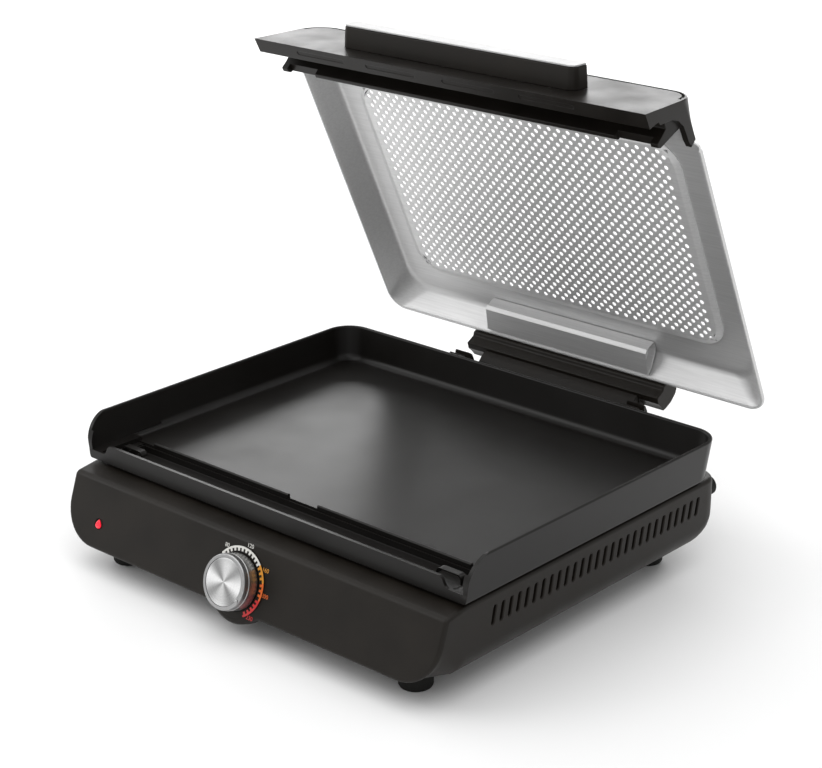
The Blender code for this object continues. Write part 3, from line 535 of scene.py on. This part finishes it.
def build_housing(black):
    shell = add_mesh("housing", shell_body(), black)
    for side in (-1, 1):
        tower = add_mesh("tower", prism_x(TOWER, *sorted((side * TOWER_X0, side * TOWER_X1))))
        combine(shell, "UNION", [bevel(tower, 1.0, 2)])
    cut(shell, shell_hollow())
    join(shell, rod((GLAND_X, 131, GLAND_Z), (GLAND_X, 139, GLAND_Z), 12.0, 40),
         group(*[rod((x, y, FOOT_H + 1.5), (x, y, FOOT_H + 12), 5.0, 24) for x, y in COVER_SCREWS]))
    vents = [vent_cutter(side, VENT_Y0 + VENT_PITCH * i) for side in (-1, 1) for i in range(VENTS)]
    holes = [rod((x, y, FOOT_H - 2), (x, y, FOOT_H + 10), 1.8, 20) for x, y in COVER_SCREWS]
    shaft = turned([(SHAFT_R + 1.2, -16), (SHAFT_R + 1.2, 4)], 32, KNOB_PLACE)
    lamp = turned([(4.3, -8), (4.3, -0.5), (5.0, 0.3), (5.0, 4)], 32, LAMP_PLACE)
    opening = box(-COVER_HALF, COVER_HALF, COVER_FRONT, COVER_REAR, FOOT_H - 5, FOOT_H + 6)
    well = box(-WELL_HALF, WELL_HALF, WELL_FRONT, WELL_REAR, DECK_TOP - 8, DECK_TOP + 8)
    cut(shell, group(*vents), group(opening, *holes), well, group(shaft, lamp), tower_slots(),
        rod((GLAND_X, 120, GLAND_Z), (GLAND_X, 150, GLAND_Z), GLAND_R + 0.3, 40))
    piece(shell, "base", "black_plastic", "housing_shell", "panel_tab")


# ---------------------------------------------------------------- plate and tray

def plate_level(z):
    """Half width and rear edge of the plate's outside at one height."""
    t = (z - PLATE_BOTTOM - 3) / (PLATE_TOP - 1.6 - PLATE_BOTTOM - 3)
    return FOOT_HALF + (RIM_HALF - FOOT_HALF) * t, PLATE_REAR + (RIM_REAR - PLATE_REAR) * t, 21.0 + 3.0 * t


def plate_loop(z, inset, front, r_front=0.5):
    half, rear, r = plate_level(z)
    return [(x, y, z) for x, y in round_rect(half - inset, front, rear - inset, r_front, r - inset, 12)]


def build_plate(coated):
    half_wall = PLATE_WALL / 2
    rounds = [math.radians(a) for a in (0, 22.5, 45, 67.5, 90)]
    outer = [plate_loop(PLATE_BOTTOM, 1.5, PLATE_FRONT), plate_loop(PLATE_BOTTOM + 0.8, 0.4, PLATE_FRONT),
             plate_loop(PLATE_BOTTOM + 3, 0.0, PLATE_FRONT)]
    crown = [PLATE_TOP - half_wall * (1 - math.sin(a)) for a in rounds]
    outer += [plate_loop(z, half_wall * (1 - math.cos(a)), PLATE_FRONT) for z, a in zip(crown, rounds)]
    plate = add_mesh("plate", loft(outer), coated)
    join(plate, box(-184.5, 184.5, -176.6, TROUGH_REAR + 1.6, TROUGH_Z - 1.8, PLATE_BOTTOM + 1))
    well = [plate_loop(FLOOR_Z + 6 * (1 - math.cos(a)), PLATE_WALL + 6 * (1 - math.sin(a)), FLOOR_FRONT, 1.0)
            for a in rounds]
    well += [plate_loop(z, PLATE_WALL - half_wall * (1 - math.cos(a)), FLOOR_FRONT, 1.0)
             for z, a in zip(crown[:-1], rounds)]
    well.append(plate_loop(PLATE_TOP + 3, half_wall - 0.2, FLOOR_FRONT, 1.0))
    bay = []
    for z in [NOTCH_Z] + crown[:-1] + [PLATE_TOP + 3]:
        climb = min(max(half_wall - (PLATE_TOP - z), 0.0), half_wall)
        inset = PLATE_WALL - half_wall + math.sqrt(half_wall ** 2 - climb ** 2)
        half = plate_level(min(z, PLATE_TOP))[0] - inset
        bay.append([(-half, STRIP_BACK, z), (half, STRIP_BACK, z), (half, FLOOR_FRONT + 30, z),
                    (-half, FLOOR_FRONT + 30, z)])
    right = [(NOTCH_X1, 120.0), (NOTCH_X1, NOTCH_Z), (NOTCH_X0 + 5, NOTCH_Z)]
    right += arc(NOTCH_X0 + 5, NOTCH_Z + 4.5, 4.5, 270, 210, 4)[1:]
    right += [(NOTCH_X0 - 1, STRIP_TOP - 2.0), (NOTCH_X0 - 3.5, STRIP_TOP)]
    notched = right + mirror_x(right)
    strip = loft([[(x, y, z) for x, z in notched] for y in (PLATE_FRONT - 4, STRIP_BACK + 0.5)])
    cut(plate, loft(well), loft(bay), strip)
    curve = [(-186, NOTCH_Z - 4), (-181.2, NOTCH_Z - 4), (-180.6, 86.0)]
    curve += arc(CURVE_Y, CURVE_Z, CURVE_R, 176, 90, 14)
    curve += [(-155.0, 120.0), (-186, 120.0)]
    cut(plate, group(*[prism_x(curve, s * 204 - 7.2, s * 204 + 7.2) for s in (-1, 1)]))
    trough = prism_z(round_rect(182.7, -174.8, TROUGH_REAR, 1.0, 1.0, 4), TROUGH_Z, 100)
    ledge = box(-LEDGE_HALF, LEDGE_HALF, STRIP_BACK, TROUGH_REAR + 0.4, FLOOR_Z - 1.0, 100)
    cut(plate, trough, ledge, box(-LEDGE_HALF, LEDGE_HALF, TROUGH_REAR, FLOOR_FRONT + 3, FLOOR_Z, 100))
    lips = []
    for s in (-1, 1):
        hump = [(FLOOR_FRONT - 3.5, FLOOR_Z - 1)]
        hump += arc(FLOOR_FRONT - 2.0, LIP_TOP - 1.5, 1.5, 180, 0, 8)
        hump += [(FLOOR_FRONT - 0.5, FLOOR_Z - 1)]
        lips.append(prism_x(hump, *sorted((s * LIP_X0, s * LIP_X1))))
    join(plate, group(*lips))
    piece(plate, "plate", "nonstick_aluminium", "griddle_plate")


def strap(side):
    """Thin hook that lifts the tray: up its end wall, over and down again."""
    outer, inner, up = STRAP_OUT - STRAP_R, STRAP_IN + STRAP_R, STRAP_TOP - STRAP_R
    outside = [(STRAP_OUT, 80.0)] + arc(outer, up, STRAP_R, 0, 90, 8) + arc(inner, up, STRAP_R, 90, 180, 8)
    outside += [(STRAP_IN, 84.0)]
    r = STRAP_R - STRAP_THICK
    inside = [(STRAP_OUT - STRAP_THICK, 80.0)] + arc(outer, up, r, 0, 90, 8) + arc(inner, up, r, 90, 180, 8)
    inside += [(STRAP_IN + STRAP_THICK, 84.0)]
    outline = outside + inside[::-1]
    return loft([[(side * x, y, z) for x, z in outline] for y in (STRAP_FRONT, STRAP_REAR)])


def tray_body(levels, corner):
    """Body with the tray's outline at (z, inset) levels."""
    return loft([[(x, y, z) for x, y in round_rect(TRAY_HALF - i, TRAY_FRONT + i, TROUGH_REAR - TRAY_GAP - i,
                                                   corner - i, corner - i, 6)] for z, i in levels])


def build_tray(coated):
    outer = ((TROUGH_Z + 0.4, 2.0), (TROUGH_Z + 0.8, 0.8), (TROUGH_Z + 2.0, 0.0), (81.5, 0.0))
    inner = ((TROUGH_Z + 1.6, 2.6), (TROUGH_Z + 2.2, 1.5), (TROUGH_Z + 3.4, 1.1), (90.0, 1.1))
    tray = add_mesh("tray", tray_body(outer, 3.5), coated)
    cut(tray, tray_body(inner, 4.0))
    join(tray, strap(-1), strap(1))
    piece(tray, "tray", "nonstick_aluminium", "drip_tray")


# ---------------------------------------------------------------- lid

LID = Matrix.Translation((0, HINGE_Y, HINGE_Z)) @ Matrix.Rotation(-LID_OPEN, 4, "X")


def lid_point(x, v, h):
    """Closed lid coordinates to their place on the open lid."""
    return LID @ Vector((x, LID_Y - v - HINGE_Y, LID_Z + h - HINGE_Z))


def lid_prism(outline, x0, x1):
    return loft([[lid_point(x, v, h) for v, h in outline] for x in (x0, x1)])


def lid_slab(outline, h0, h1):
    return loft([[lid_point(x, v, h) for x, v in outline] for h in (h0, h1)])


def pan_loops(levels):
    loops = []
    for h, side, rear, front, r in levels:
        outline = [(x, rear + front - v) for x, v in round_rect(LID_HALF - side, rear, front, r, 8.0, 12)]
        loops.append([lid_point(x, front + rear - v, h) for x, v in outline])
    return loft(loops)


def build_pan(steel):
    pan = add_mesh("pan", pan_loops(PAN_OUTER), steel)
    opening = round_rect(SCREEN_X + 2, SCREEN_V0 - 2, SCREEN_V1 + 2, SCREEN_R + 2, SCREEN_R + 2, 10)
    notches = []
    for side in (-1, 1):
        x0, x1 = sorted((side * PAN_NOTCH_X, side * 215))
        notches.append(lid_slab([(x0, PAN_NOTCH_V), (x1, PAN_NOTCH_V), (x1, 295), (x0, 295)], -8, 30))
    cut(pan, pan_loops(PAN_INNER), lid_slab(opening, 17, 26), group(*notches))
    piece(pan, "lid", "brushed_steel", "lid_pan", angle=40)


def mesh_cell(bm, x, v, verts):
    """One cell of the perforated field: six outer corners round a twelve-sided hole."""
    corners = [(1, 1), (0, 1), (-1, 1), (-1, -1), (0, -1), (1, -1)]
    outer = [verts(x + dx * HOLE_PITCH / 2, v + dv * ROW_PITCH / 2) for dx, dv in corners]
    hole = [bm.verts.new((x + HOLE_R * math.cos(a), v + HOLE_R * math.sin(a), 0))
            for a in (math.radians(30 + 30 * k) for k in range(12))]
    for k in range(6):
        j = (k + 1) % 6
        bm.faces.new((outer[k], outer[j], hole[(2 * k + 2) % 12], hole[2 * k + 1], hole[2 * k]))


def perforated_field():
    """Flat field of staggered holes, its sides squared off with half cells; build_screen fills its bare
    border out to the dish's edge.
    """
    bm = bmesh.new()
    known = {}

    def vert(x, v):
        key = (round(x, 2), round(v, 2))
        if key not in known:
            known[key] = bm.verts.new((x, v, 0))
        return known[key]

    v0 = (SCREEN_V0 + SCREEN_V1) / 2 - HOLE_ROWS * ROW_PITCH / 2
    edge = HOLES_ACROSS * HOLE_PITCH / 2
    for row in range(HOLE_ROWS):
        v = v0 + (row + 0.5) * ROW_PITCH
        odd = row % 2
        for i in range(HOLES_ACROSS - odd):
            mesh_cell(bm, -edge + (i + 0.5 + odd / 2) * HOLE_PITCH, v, vert)
        if odd:
            for s in (-1, 1):
                x0, x1 = s * edge, s * (edge - HOLE_PITCH / 2)
                bm.faces.new([vert(x0, v - ROW_PITCH / 2), vert(x1, v - ROW_PITCH / 2),
                              vert(x1, v + ROW_PITCH / 2), vert(x0, v + ROW_PITCH / 2)])
    bmesh.ops.recalc_face_normals(bm, faces=bm.faces)
    return bm, edge, v0, v0 + HOLE_ROWS * ROW_PITCH


def build_screen(steel):
    bm, edge, v0, v1 = perforated_field()

    def on_border(place):
        return min(abs(abs(place.x) - edge), abs(place.y - v0), abs(place.y - v1)) < 0.01

    rim = [e for e in bm.edges if e.is_boundary and all(on_border(p.co) for p in e.verts)]
    levels = ((0.0, -0.6), (0.1, 0.1), (0.35, 0.7), (1.55, 4.2), (1.8, 4.9), (1.9, 5.6))
    loops = [[bm.verts.new((x, v, h)) for x, v in round_rect(SCREEN_X + out, SCREEN_V0 - out, SCREEN_V1 + out,
                                                            SCREEN_R + out, SCREEN_R + out, 10)]
             for h, out in levels]
    count = len(loops[0])
    ring = [bm.edges.new((loops[0][i], loops[0][(i + 1) % count])) for i in range(count)]
    skin(bm, loops)
    bmesh.ops.triangle_fill(bm, edges=rim + ring, use_beauty=True)
    for vert in bm.verts:
        vert.co = lid_point(vert.co.x, vert.co.y, SCREEN_H + 0.1 + vert.co.z)
    screen = add_mesh("screen", bm, steel)
    step = screen.modifiers.new("thickness", "SOLIDIFY")
    step.thickness, step.offset = 0.8 * MM, 1.0
    bake(screen)
    piece(screen, "lid", "brushed_steel", "lid_screen", angle=25)


def visor_face(t, out):
    """(v, h) of a point up the visor's face from its front edge, a distance in front of it."""
    c, r = math.cos(VISOR_RISE), math.sin(VISOR_RISE)
    return (VISOR_V - t * c + out * r, VISOR_H + t * r + out * c)


def trim_profile(x):
    """Outside of the visor at one place across the lid, front bottom edge first."""
    bow = max(abs(x) - (TRIM_HALF - VISOR_CORNER_R), 0.0)
    back = VISOR_CORNER_R - math.sqrt(VISOR_CORNER_R ** 2 - bow ** 2)
    crest, rear = visor_face(VISOR_LEN - back, -1.5), (269.0, 10.9)
    middle = [0.5 * (a + b) for a, b in zip(crest, rear)]
    return [visor_face(0.0, 0.0), visor_face(VISOR_LEN - back - 3.0, 0.0),
            visor_face(VISOR_LEN - back - 0.9, -0.4), crest, middle, rear]


def trim_stations():
    """Places across the visor, closer together round its corners."""
    turns = [math.radians(90 * i / 10) for i in range(11)]
    bowed = [TRIM_HALF - VISOR_CORNER_R + VISOR_CORNER_R * math.sin(a) for a in turns]
    return [-x for x in bowed[::-1]] + bowed


def visor_groove():
    """Fine groove round the visor's face, just inside its rear edge."""
    inset, width = 3.0, 2.4
    loops = []
    for radius, grow in ((VISOR_CORNER_R, 0.0), (VISOR_CORNER_R - width, width)):
        half, top = TRIM_HALF - 3.0 - inset - grow, VISOR_LEN - inset - grow
        r = radius - inset
        loops.append(arc(-half + r, top - r, r, 180, 90, 12) + arc(half - r, top - r, r, 90, 0, 12))
    outer, inner = loops
    outline = outer + inner[::-1]
    return loft([[lid_point(x, *visor_face(t, out)) for x, t in outline] for out in (-1.8, 1.0)])


def visor_slots():
    """Four long shallow slots under the visor's front edge."""
    ring = round_rect(26.0, -1.9, 1.9, 1.9, 1.9, 6)
    return group(*[loft([[lid_point(middle + x, VISOR_V - 6.8 + w, VISOR_H - depth) for x, w in ring]
                         for depth in (-0.7, 1.0)]) for middle in (-126.0, -50.0, 30.0, 106.0)])


def build_trim(black):
    loops = []
    for x in trim_stations():
        section = trim_profile(x) + list(TRIM_UNDER)
        loops.append([lid_point(x * (1.0 - TRIM_TAPER / TRIM_HALF * (h - VISOR_H) / TRIM_RISE), v, h)
                      for v, h in section])
    trim = add_mesh("visor", loft(loops), black)
    cut(trim, lid_prism(PAN_ROOM, -PAN_NOTCH_X - 0.5, PAN_NOTCH_X + 0.5))
    leg = bevel(add_mesh("leg", lid_prism(TRIM_LEG, -192.5, 192.5)), 0.6, 2, 30)
    combine(trim, "UNION", [leg])
    rooms = [lid_prism(TAB_ROOM, *sorted((s * 154.0, s * 186.0))) for s in (-1, 1)]
    cut(trim, lid_prism(STRIP_ROOM, -193.0, 193.0), group(*rooms), visor_groove(), visor_slots())
    piece(trim, "lid", "black_plastic", "lid_trim")


def on_visor(inset, out):
    """Outline round the handle, on the visor's face or a distance in front of it."""
    outline = round_rect(HANDLE_HALF - inset, HANDLE_T0 + inset, HANDLE_T1 - inset,
                         7.0 - inset, 3.0 - inset / 2, 8)
    return [lid_point(x, *visor_face(t, out)) for x, t in outline]


def build_handle(black, bright):
    levels = [(0.0, 0.3 - HANDLE_OUT), (0.8, -1.6), (0.9, -0.7), (1.2, -0.2), (1.7, 0.0)]
    handle = add_mesh("handle", loft([on_visor(inset, HANDLE_OUT + out) for inset, out in levels]), black)
    piece(handle, "lid", "black_plastic", "handle_bar")
    levels = [(1.4, 0.3), (1.4, 1.1), (1.6, 1.4), (2.0, 1.5)]
    insert = add_mesh("insert", loft([on_visor(inset, HANDLE_OUT + out) for inset, out in levels]), bright)
    piece(insert, "lid", "brushed_steel", "handle_insert")


def build_hinge(black, steel):
    bar = bevel(add_mesh("hinge_rail", lid_prism(HINGE_BAR, -105.0, 105.0), black), 1.0, 3, 25)
    sweeps = []
    for s in (-1, 1):
        x0, x1 = sorted((s * (TOWER_X0 - 1.2), s * 110))
        sweeps.append(rod((x0, HINGE_Y, HINGE_Z), (x1, HINGE_Y, HINGE_Z), SWEEP_R, 96))
    cut(bar, *sweeps)
    barrel = arc(LID_Y - HINGE_Y, HINGE_Z - LID_Z, 9.0, 100, 330, 24)
    arm = [(-19.5, -13.0)] + barrel + [(-8.0, -20.0), (-7.0, -13.0)]
    join(bar, lid_prism(arm, -ARM_X1, ARM_X1))
    cut(bar, group(*[rod((s * 73 - 13, HINGE_Y, HINGE_Z), (s * 73 + 13, HINGE_Y, HINGE_Z), PIN_R + 0.25, 32)
                     for s in (-1, 1)]))
    piece(bar, "lid", "black_plastic", "hinge_bar")
    mv, mh = BRACE_MIDDLE
    loops = []
    for i in range(13):
        ease = 1 - math.sin(math.radians(15 * i))
        x = (BRACE_END * ease - BRACE_HALF) * (1 if i < 7 else -1)
        shrink = 1.0 - 0.30 * ease
        loops.append([lid_point(x, mv + (v - mv) * shrink, mh + (h - mh) * shrink) for v, h in BRACE])
    brace = bevel(add_mesh("brace", loft(loops), steel), 1.4, 5, 22)
    piece(brace, "lid", "brushed_steel", "hinge_brace")


# ---------------------------------------------------------------- controls

def build_knob(chrome, spun):
    r = KNOB_R
    skirt = [(r - 1.0, 1.2), (r - 0.4, 1.4), (r, 2.0), (r, KNOB_H - 5.4), (r - 0.35, KNOB_H - 5.0),
             (r - 0.35, KNOB_H - 1.2), (r - 0.7, KNOB_H - 0.4), (r - 1.3, KNOB_H)]
    body = add_mesh("knob", turned(skirt, 96, KNOB_PLACE), chrome)
    recess = [(r - 3.5, KNOB_H - 1.2), (r - 3.2, KNOB_H + 0.1), (r - 3.0, KNOB_H + 2)]
    cut(body, turned(recess, 96, KNOB_PLACE),
        turned([(SHAFT_R + 0.05, 0), (SHAFT_R + 0.05, 11.0)], 32, KNOB_PLACE))
    piece(body, "knob", "knob_chrome", "knob_body")
    face = [(r - 3.8, KNOB_H - 0.9), (r - 3.7, KNOB_H - 0.3), (r - 4.2, KNOB_H - 0.1), (r - 8, KNOB_H - 0.25),
            (0.6, KNOB_H - 0.35)]
    cap = add_mesh("knob_face", turned(face, 96, KNOB_PLACE), spun)
    piece(cap, "knob", "knob_chrome", "knob_cap")
    turn = Matrix.Rotation(math.radians(POINTER_ANGLE), 4, "Z")
    spot = KNOB_PLACE @ turn @ Matrix.Translation((0, r - 1.9, KNOB_H))
    nub = add_mesh("pointer", turned([(1.6, 0.2), (1.55, 0.7), (1.2, 1.05), (0.5, 1.2)], 32, spot), chrome)
    piece(nub, "knob", "knob_chrome", "knob_pointer")


def dial_arc(r0, r1, a0, a1, z):
    """Thin printed band of the scale; angles clockwise from the top in degrees."""
    steps = max(int(abs(a1 - a0) / 3), 2)
    angles = [math.radians(90 - a0 - (a1 - a0) * i / steps) for i in range(steps + 1)]
    outline = [(r1 * math.cos(a), r1 * math.sin(a)) for a in angles]
    outline += [(r0 * math.cos(a), r0 * math.sin(a)) for a in angles[::-1]]
    return prism_z(outline, z, z + 0.12)


def build_dial(black, inks):
    ring = [(DIAL_R, 0.3), (DIAL_R, 0.7), (DIAL_R - 0.3, 0.9), (DIAL_IN + 0.3, 0.9), (DIAL_IN, 0.7),
            (DIAL_IN, 0.3)]
    bm = bmesh.new()
    rows = [[bm.verts.new(p) for p in circle(r, z, 120)] for r, z in ring]
    skin(bm, rows + rows[:1])
    piece(add_mesh("dial", transform(bm, KNOB_PLACE), black), "base", "scale_white", "dial_ring")
    for ink, a0, a1 in BANDS:
        marks = [dial_arc(DIAL_R - 1.7, DIAL_R - 0.1, a0, a1, 0.9)]
        marks += [dial_arc(DIAL_IN + 0.9, DIAL_R - 1.7, a, a + 4.5, 0.9) for a in range(a0 + 2, a1 - 4, 9)]
        band = add_mesh("scale_" + ink, transform(group(*marks), KNOB_PLACE), inks[ink])
        piece(band, "base", "scale_white")
    for value, angle, ink in SCALE:
        build_number(str(value), angle, inks[ink])


def build_number(text, angle, ink):
    curve = bpy.data.curves.new("number_" + text, "FONT")
    curve.body, curve.size, curve.align_x, curve.align_y = text, NUMBER_SIZE, "CENTER", "CENTER"
    curve.extrude, curve.offset = 0.06, -0.01
    label = bpy.data.objects.new("number_" + text, curve)
    bpy.context.scene.collection.objects.link(label)
    bpy.context.view_layer.update()
    mesh = bpy.data.meshes.new_from_object(label.evaluated_get(bpy.context.evaluated_depsgraph_get()))
    bpy.data.objects.remove(label, do_unlink=True)
    bm = bmesh.new()
    bm.from_mesh(mesh)
    bmesh.ops.remove_doubles(bm, verts=bm.verts, dist=0.001)
    turn = math.radians(angle)
    reach = DIAL_R + 2.4
    spot = Matrix.Translation((reach * math.sin(turn), KNOB_UP + reach * math.cos(turn), 0.12))
    piece(add_mesh("number_" + text, transform(bm, PANEL @ spot), ink), "base", "scale_white")


def build_lens(lit, black):
    """Round black lamp holder with a drop-shaped lens standing out of it."""
    holder = turned([(4.0, -6.0), (4.0, -0.6), (3.7, -0.3)], 48, LAMP_PLACE)
    piece(add_mesh("lamp_holder", holder, black), "base", "black_plastic")
    loops = []
    for size, z in ((1.0, -0.2), (1.0, 0.3), (0.93, 0.7), (0.78, 1.05), (0.5, 1.3)):
        turns = [2 * math.pi * (k + 0.5) / 48 for k in range(48)]
        loops.append([(LENS_W * size * math.sin(t) * math.sin(t / 2), LENS_H * size * math.cos(t), z)
                      for t in turns])
    piece(add_mesh("lamp_lens", transform(loft(loops), LAMP_PLACE), lit), "base", "red_lens", "pilot_lens")


# ---------------------------------------------------------------- scene

def carry_over(node, mat):
    """Give a CAD node that stays its finished material."""
    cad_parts[node].data.materials.clear()
    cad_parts[node].data.materials.append(mat)


def build_stage():
    bm = bmesh.new()
    size = 9.0 / MM
    bmesh.ops.create_grid(bm, x_segments=1, y_segments=1, size=size)
    floor_paint = Finish("floor_paint", (0.9, 0.9, 0.9), 0.8, sockets={"Specular IOR Level": 0.2})
    floor_paint.set("Base Color", floor_paint.ramp(floor_paint.noise(2.0), 0.3, 0.7,
                                                   ((0.89, 0.89, 0.89), (0.92, 0.92, 0.92))))
    add_mesh("floor", bm, floor_paint.mat)


def area_light(name, place, target, size, power):
    light = bpy.data.lights.new(name, "AREA")
    light.shape, light.size, light.size_y, light.energy = "RECTANGLE", size[0], size[1], power
    obj = bpy.data.objects.new(name, light)
    bpy.context.scene.collection.objects.link(obj)
    obj.location = place
    obj.rotation_euler = (Vector(target) - Vector(place)).to_track_quat("-Z", "Y").to_euler()


def build_lights():
    world = bpy.data.worlds.new("studio")
    world.use_nodes = True
    world.node_tree.nodes["Background"].inputs["Color"].default_value = (1.0, 1.0, 1.0, 1.0)
    world.node_tree.nodes["Background"].inputs["Strength"].default_value = 0.6
    bpy.context.scene.world = world
    bpy.context.scene.view_settings.view_transform = "Standard"
    area_light("overhead", (0.0, 0.3, 4.0), (0, 0.3, 0), (7.0, 7.0), 150)
    area_light("backdrop", (-2.4, 3.0, 1.2), (0, 0, 0.2), (3.6, 1.5), 60)
    area_light("side", (-3.0, -0.5, 0.9), (0, 0, 0.25), (2.6, 1.5), 18)
    area_light("key", (-1.8, -1.8, 1.7), (0, 0, 0.15), (1.4, 1.4), 12)
    area_light("fill", (1.8, -2.2, 1.2), (0, 0, 0.2), (1.4, 1.4), 4)


def build_camera():
    target = VIEW_TARGET + Vector((0, SHIFT, 0))
    back = Vector((math.sin(VIEW_AZIMUTH) * math.cos(VIEW_ELEVATION),
                   -math.cos(VIEW_AZIMUTH) * math.cos(VIEW_ELEVATION), math.sin(VIEW_ELEVATION)))
    camera = bpy.data.objects.new("camera", bpy.data.cameras.new("camera"))
    bpy.context.scene.collection.objects.link(camera)
    turn = back.to_track_quat("Z", "Y").to_matrix() @ Matrix.Rotation(VIEW_ROLL, 3, "Z")
    camera.matrix_world = Matrix.Translation((target + back * VIEW_DISTANCE) * MM) @ turn.to_4x4()
    camera.data.lens, camera.data.sensor_width = VIEW_LENS, 36.0
    camera.data.clip_end = 60.0
    bpy.context.scene.camera = camera


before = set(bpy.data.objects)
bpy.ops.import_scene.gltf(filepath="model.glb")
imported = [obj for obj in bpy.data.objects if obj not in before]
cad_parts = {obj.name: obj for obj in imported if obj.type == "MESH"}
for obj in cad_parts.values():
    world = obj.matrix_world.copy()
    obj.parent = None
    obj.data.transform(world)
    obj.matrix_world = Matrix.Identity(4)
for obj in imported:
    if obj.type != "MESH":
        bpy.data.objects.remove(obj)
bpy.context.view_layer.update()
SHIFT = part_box("griddle_plate")[1].y / MM - RIM_REAR
KNOB_AXIS = (Matrix.Scale(MM, 4) @ Matrix.Translation((0, SHIFT, 0)) @ PANEL
             @ Matrix.Translation((0, KNOB_UP, 0)))

BLACK = plastic("black_plastic", (0.0110, 0.0088, 0.0066), 0.42)
VISOR = plastic("visor_plastic", (0.0085, 0.0070, 0.0056), 0.36)
RUBBER = plastic("rubber", (0.010, 0.010, 0.009), 0.75, 0.9)
CREAM = plastic("cream_plastic", (0.62, 0.58, 0.48), 0.5)
COATED = coating()
STEEL = brushed_steel("lid_steel", 0.64, 0.42, (0.04, 1, 1), metal=0.6)
SCREEN_STEEL = brushed_steel("screen_steel", 0.72, 0.46, (0.04, 1, 1), metal=0.5)
BRIGHT = brushed_steel("handle_steel", 0.42, 0.45, (1, 0.05, 0.05))
TIN = brushed_steel("plated_sheet", 0.55, 0.42, (1, 0.2, 1))
SHEATH = brushed_steel("element_sheath", 0.34, 0.45, (1, 1, 1), 0.5)
CHROME = brushed_steel("knob_chrome", 0.42, 0.33, (1, 1, 1), 0.05)
SPUN = spun_metal("knob_spun", 0.86, 0.30)
COPPER = brushed_steel("copper", 0.45, 0.35, (1, 1, 1))
INKS = {"white": painted("scale_white", (0.75, 0.74, 0.70)),
        "amber": painted("scale_amber", (0.72, 0.30, 0.03)),
        "orange": painted("scale_orange", (0.75, 0.14, 0.02)),
        "red": painted("scale_red", (0.66, 0.03, 0.03))}
WIRE_BLACK = painted("wire_black", (0.02, 0.02, 0.02))
WIRES = {"wire_live": painted("wire_red", (0.5, 0.02, 0.02)),
         "wire_earth": painted("wire_green", (0.1, 0.4, 0.1)),
         "wire_element_left": WIRE_BLACK, "wire_element_right": WIRE_BLACK}

build_housing(BLACK)
build_plate(COATED)
build_tray(COATED)
build_pan(STEEL)
build_screen(SCREEN_STEEL)
build_trim(VISOR)
build_handle(BLACK, BRIGHT)
build_hinge(BLACK, STEEL)
build_knob(CHROME, SPUN)
build_dial(BLACK, INKS)
build_lens(lit_lens(), BLACK)

KEPT = {"bottom_cover": BLACK, "cord_gland": RUBBER, "heat_reflector": TIN, "thermostat": CREAM,
        "thermostat_terminals": COPPER, "terminal_block": CREAM, "temperature_probe": COPPER,
        "capillary_tube": COPPER, "pilot_lamp": INKS["red"], "knob_shaft": TIN, **WIRES}
for prefix, count, mat in (("cover_screw", 6, TIN), ("reflector_post", 4, TIN), ("plate_pad", 4, RUBBER),
                           ("hinge_screw", 4, TIN)):
    KEPT.update({"%s_%d" % (prefix, i + 1): mat for i in range(count)})
for side in ("left", "right"):
    KEPT.update({"foot_front_" + side: RUBBER, "foot_rear_" + side: RUBBER, "rear_bumper_" + side: RUBBER,
                 "heating_element_" + side: SHEATH, "hinge_pin_" + side: TIN})
for node, mat in KEPT.items():
    carry_over(node, mat)

build_stage()
build_lights()
build_camera()
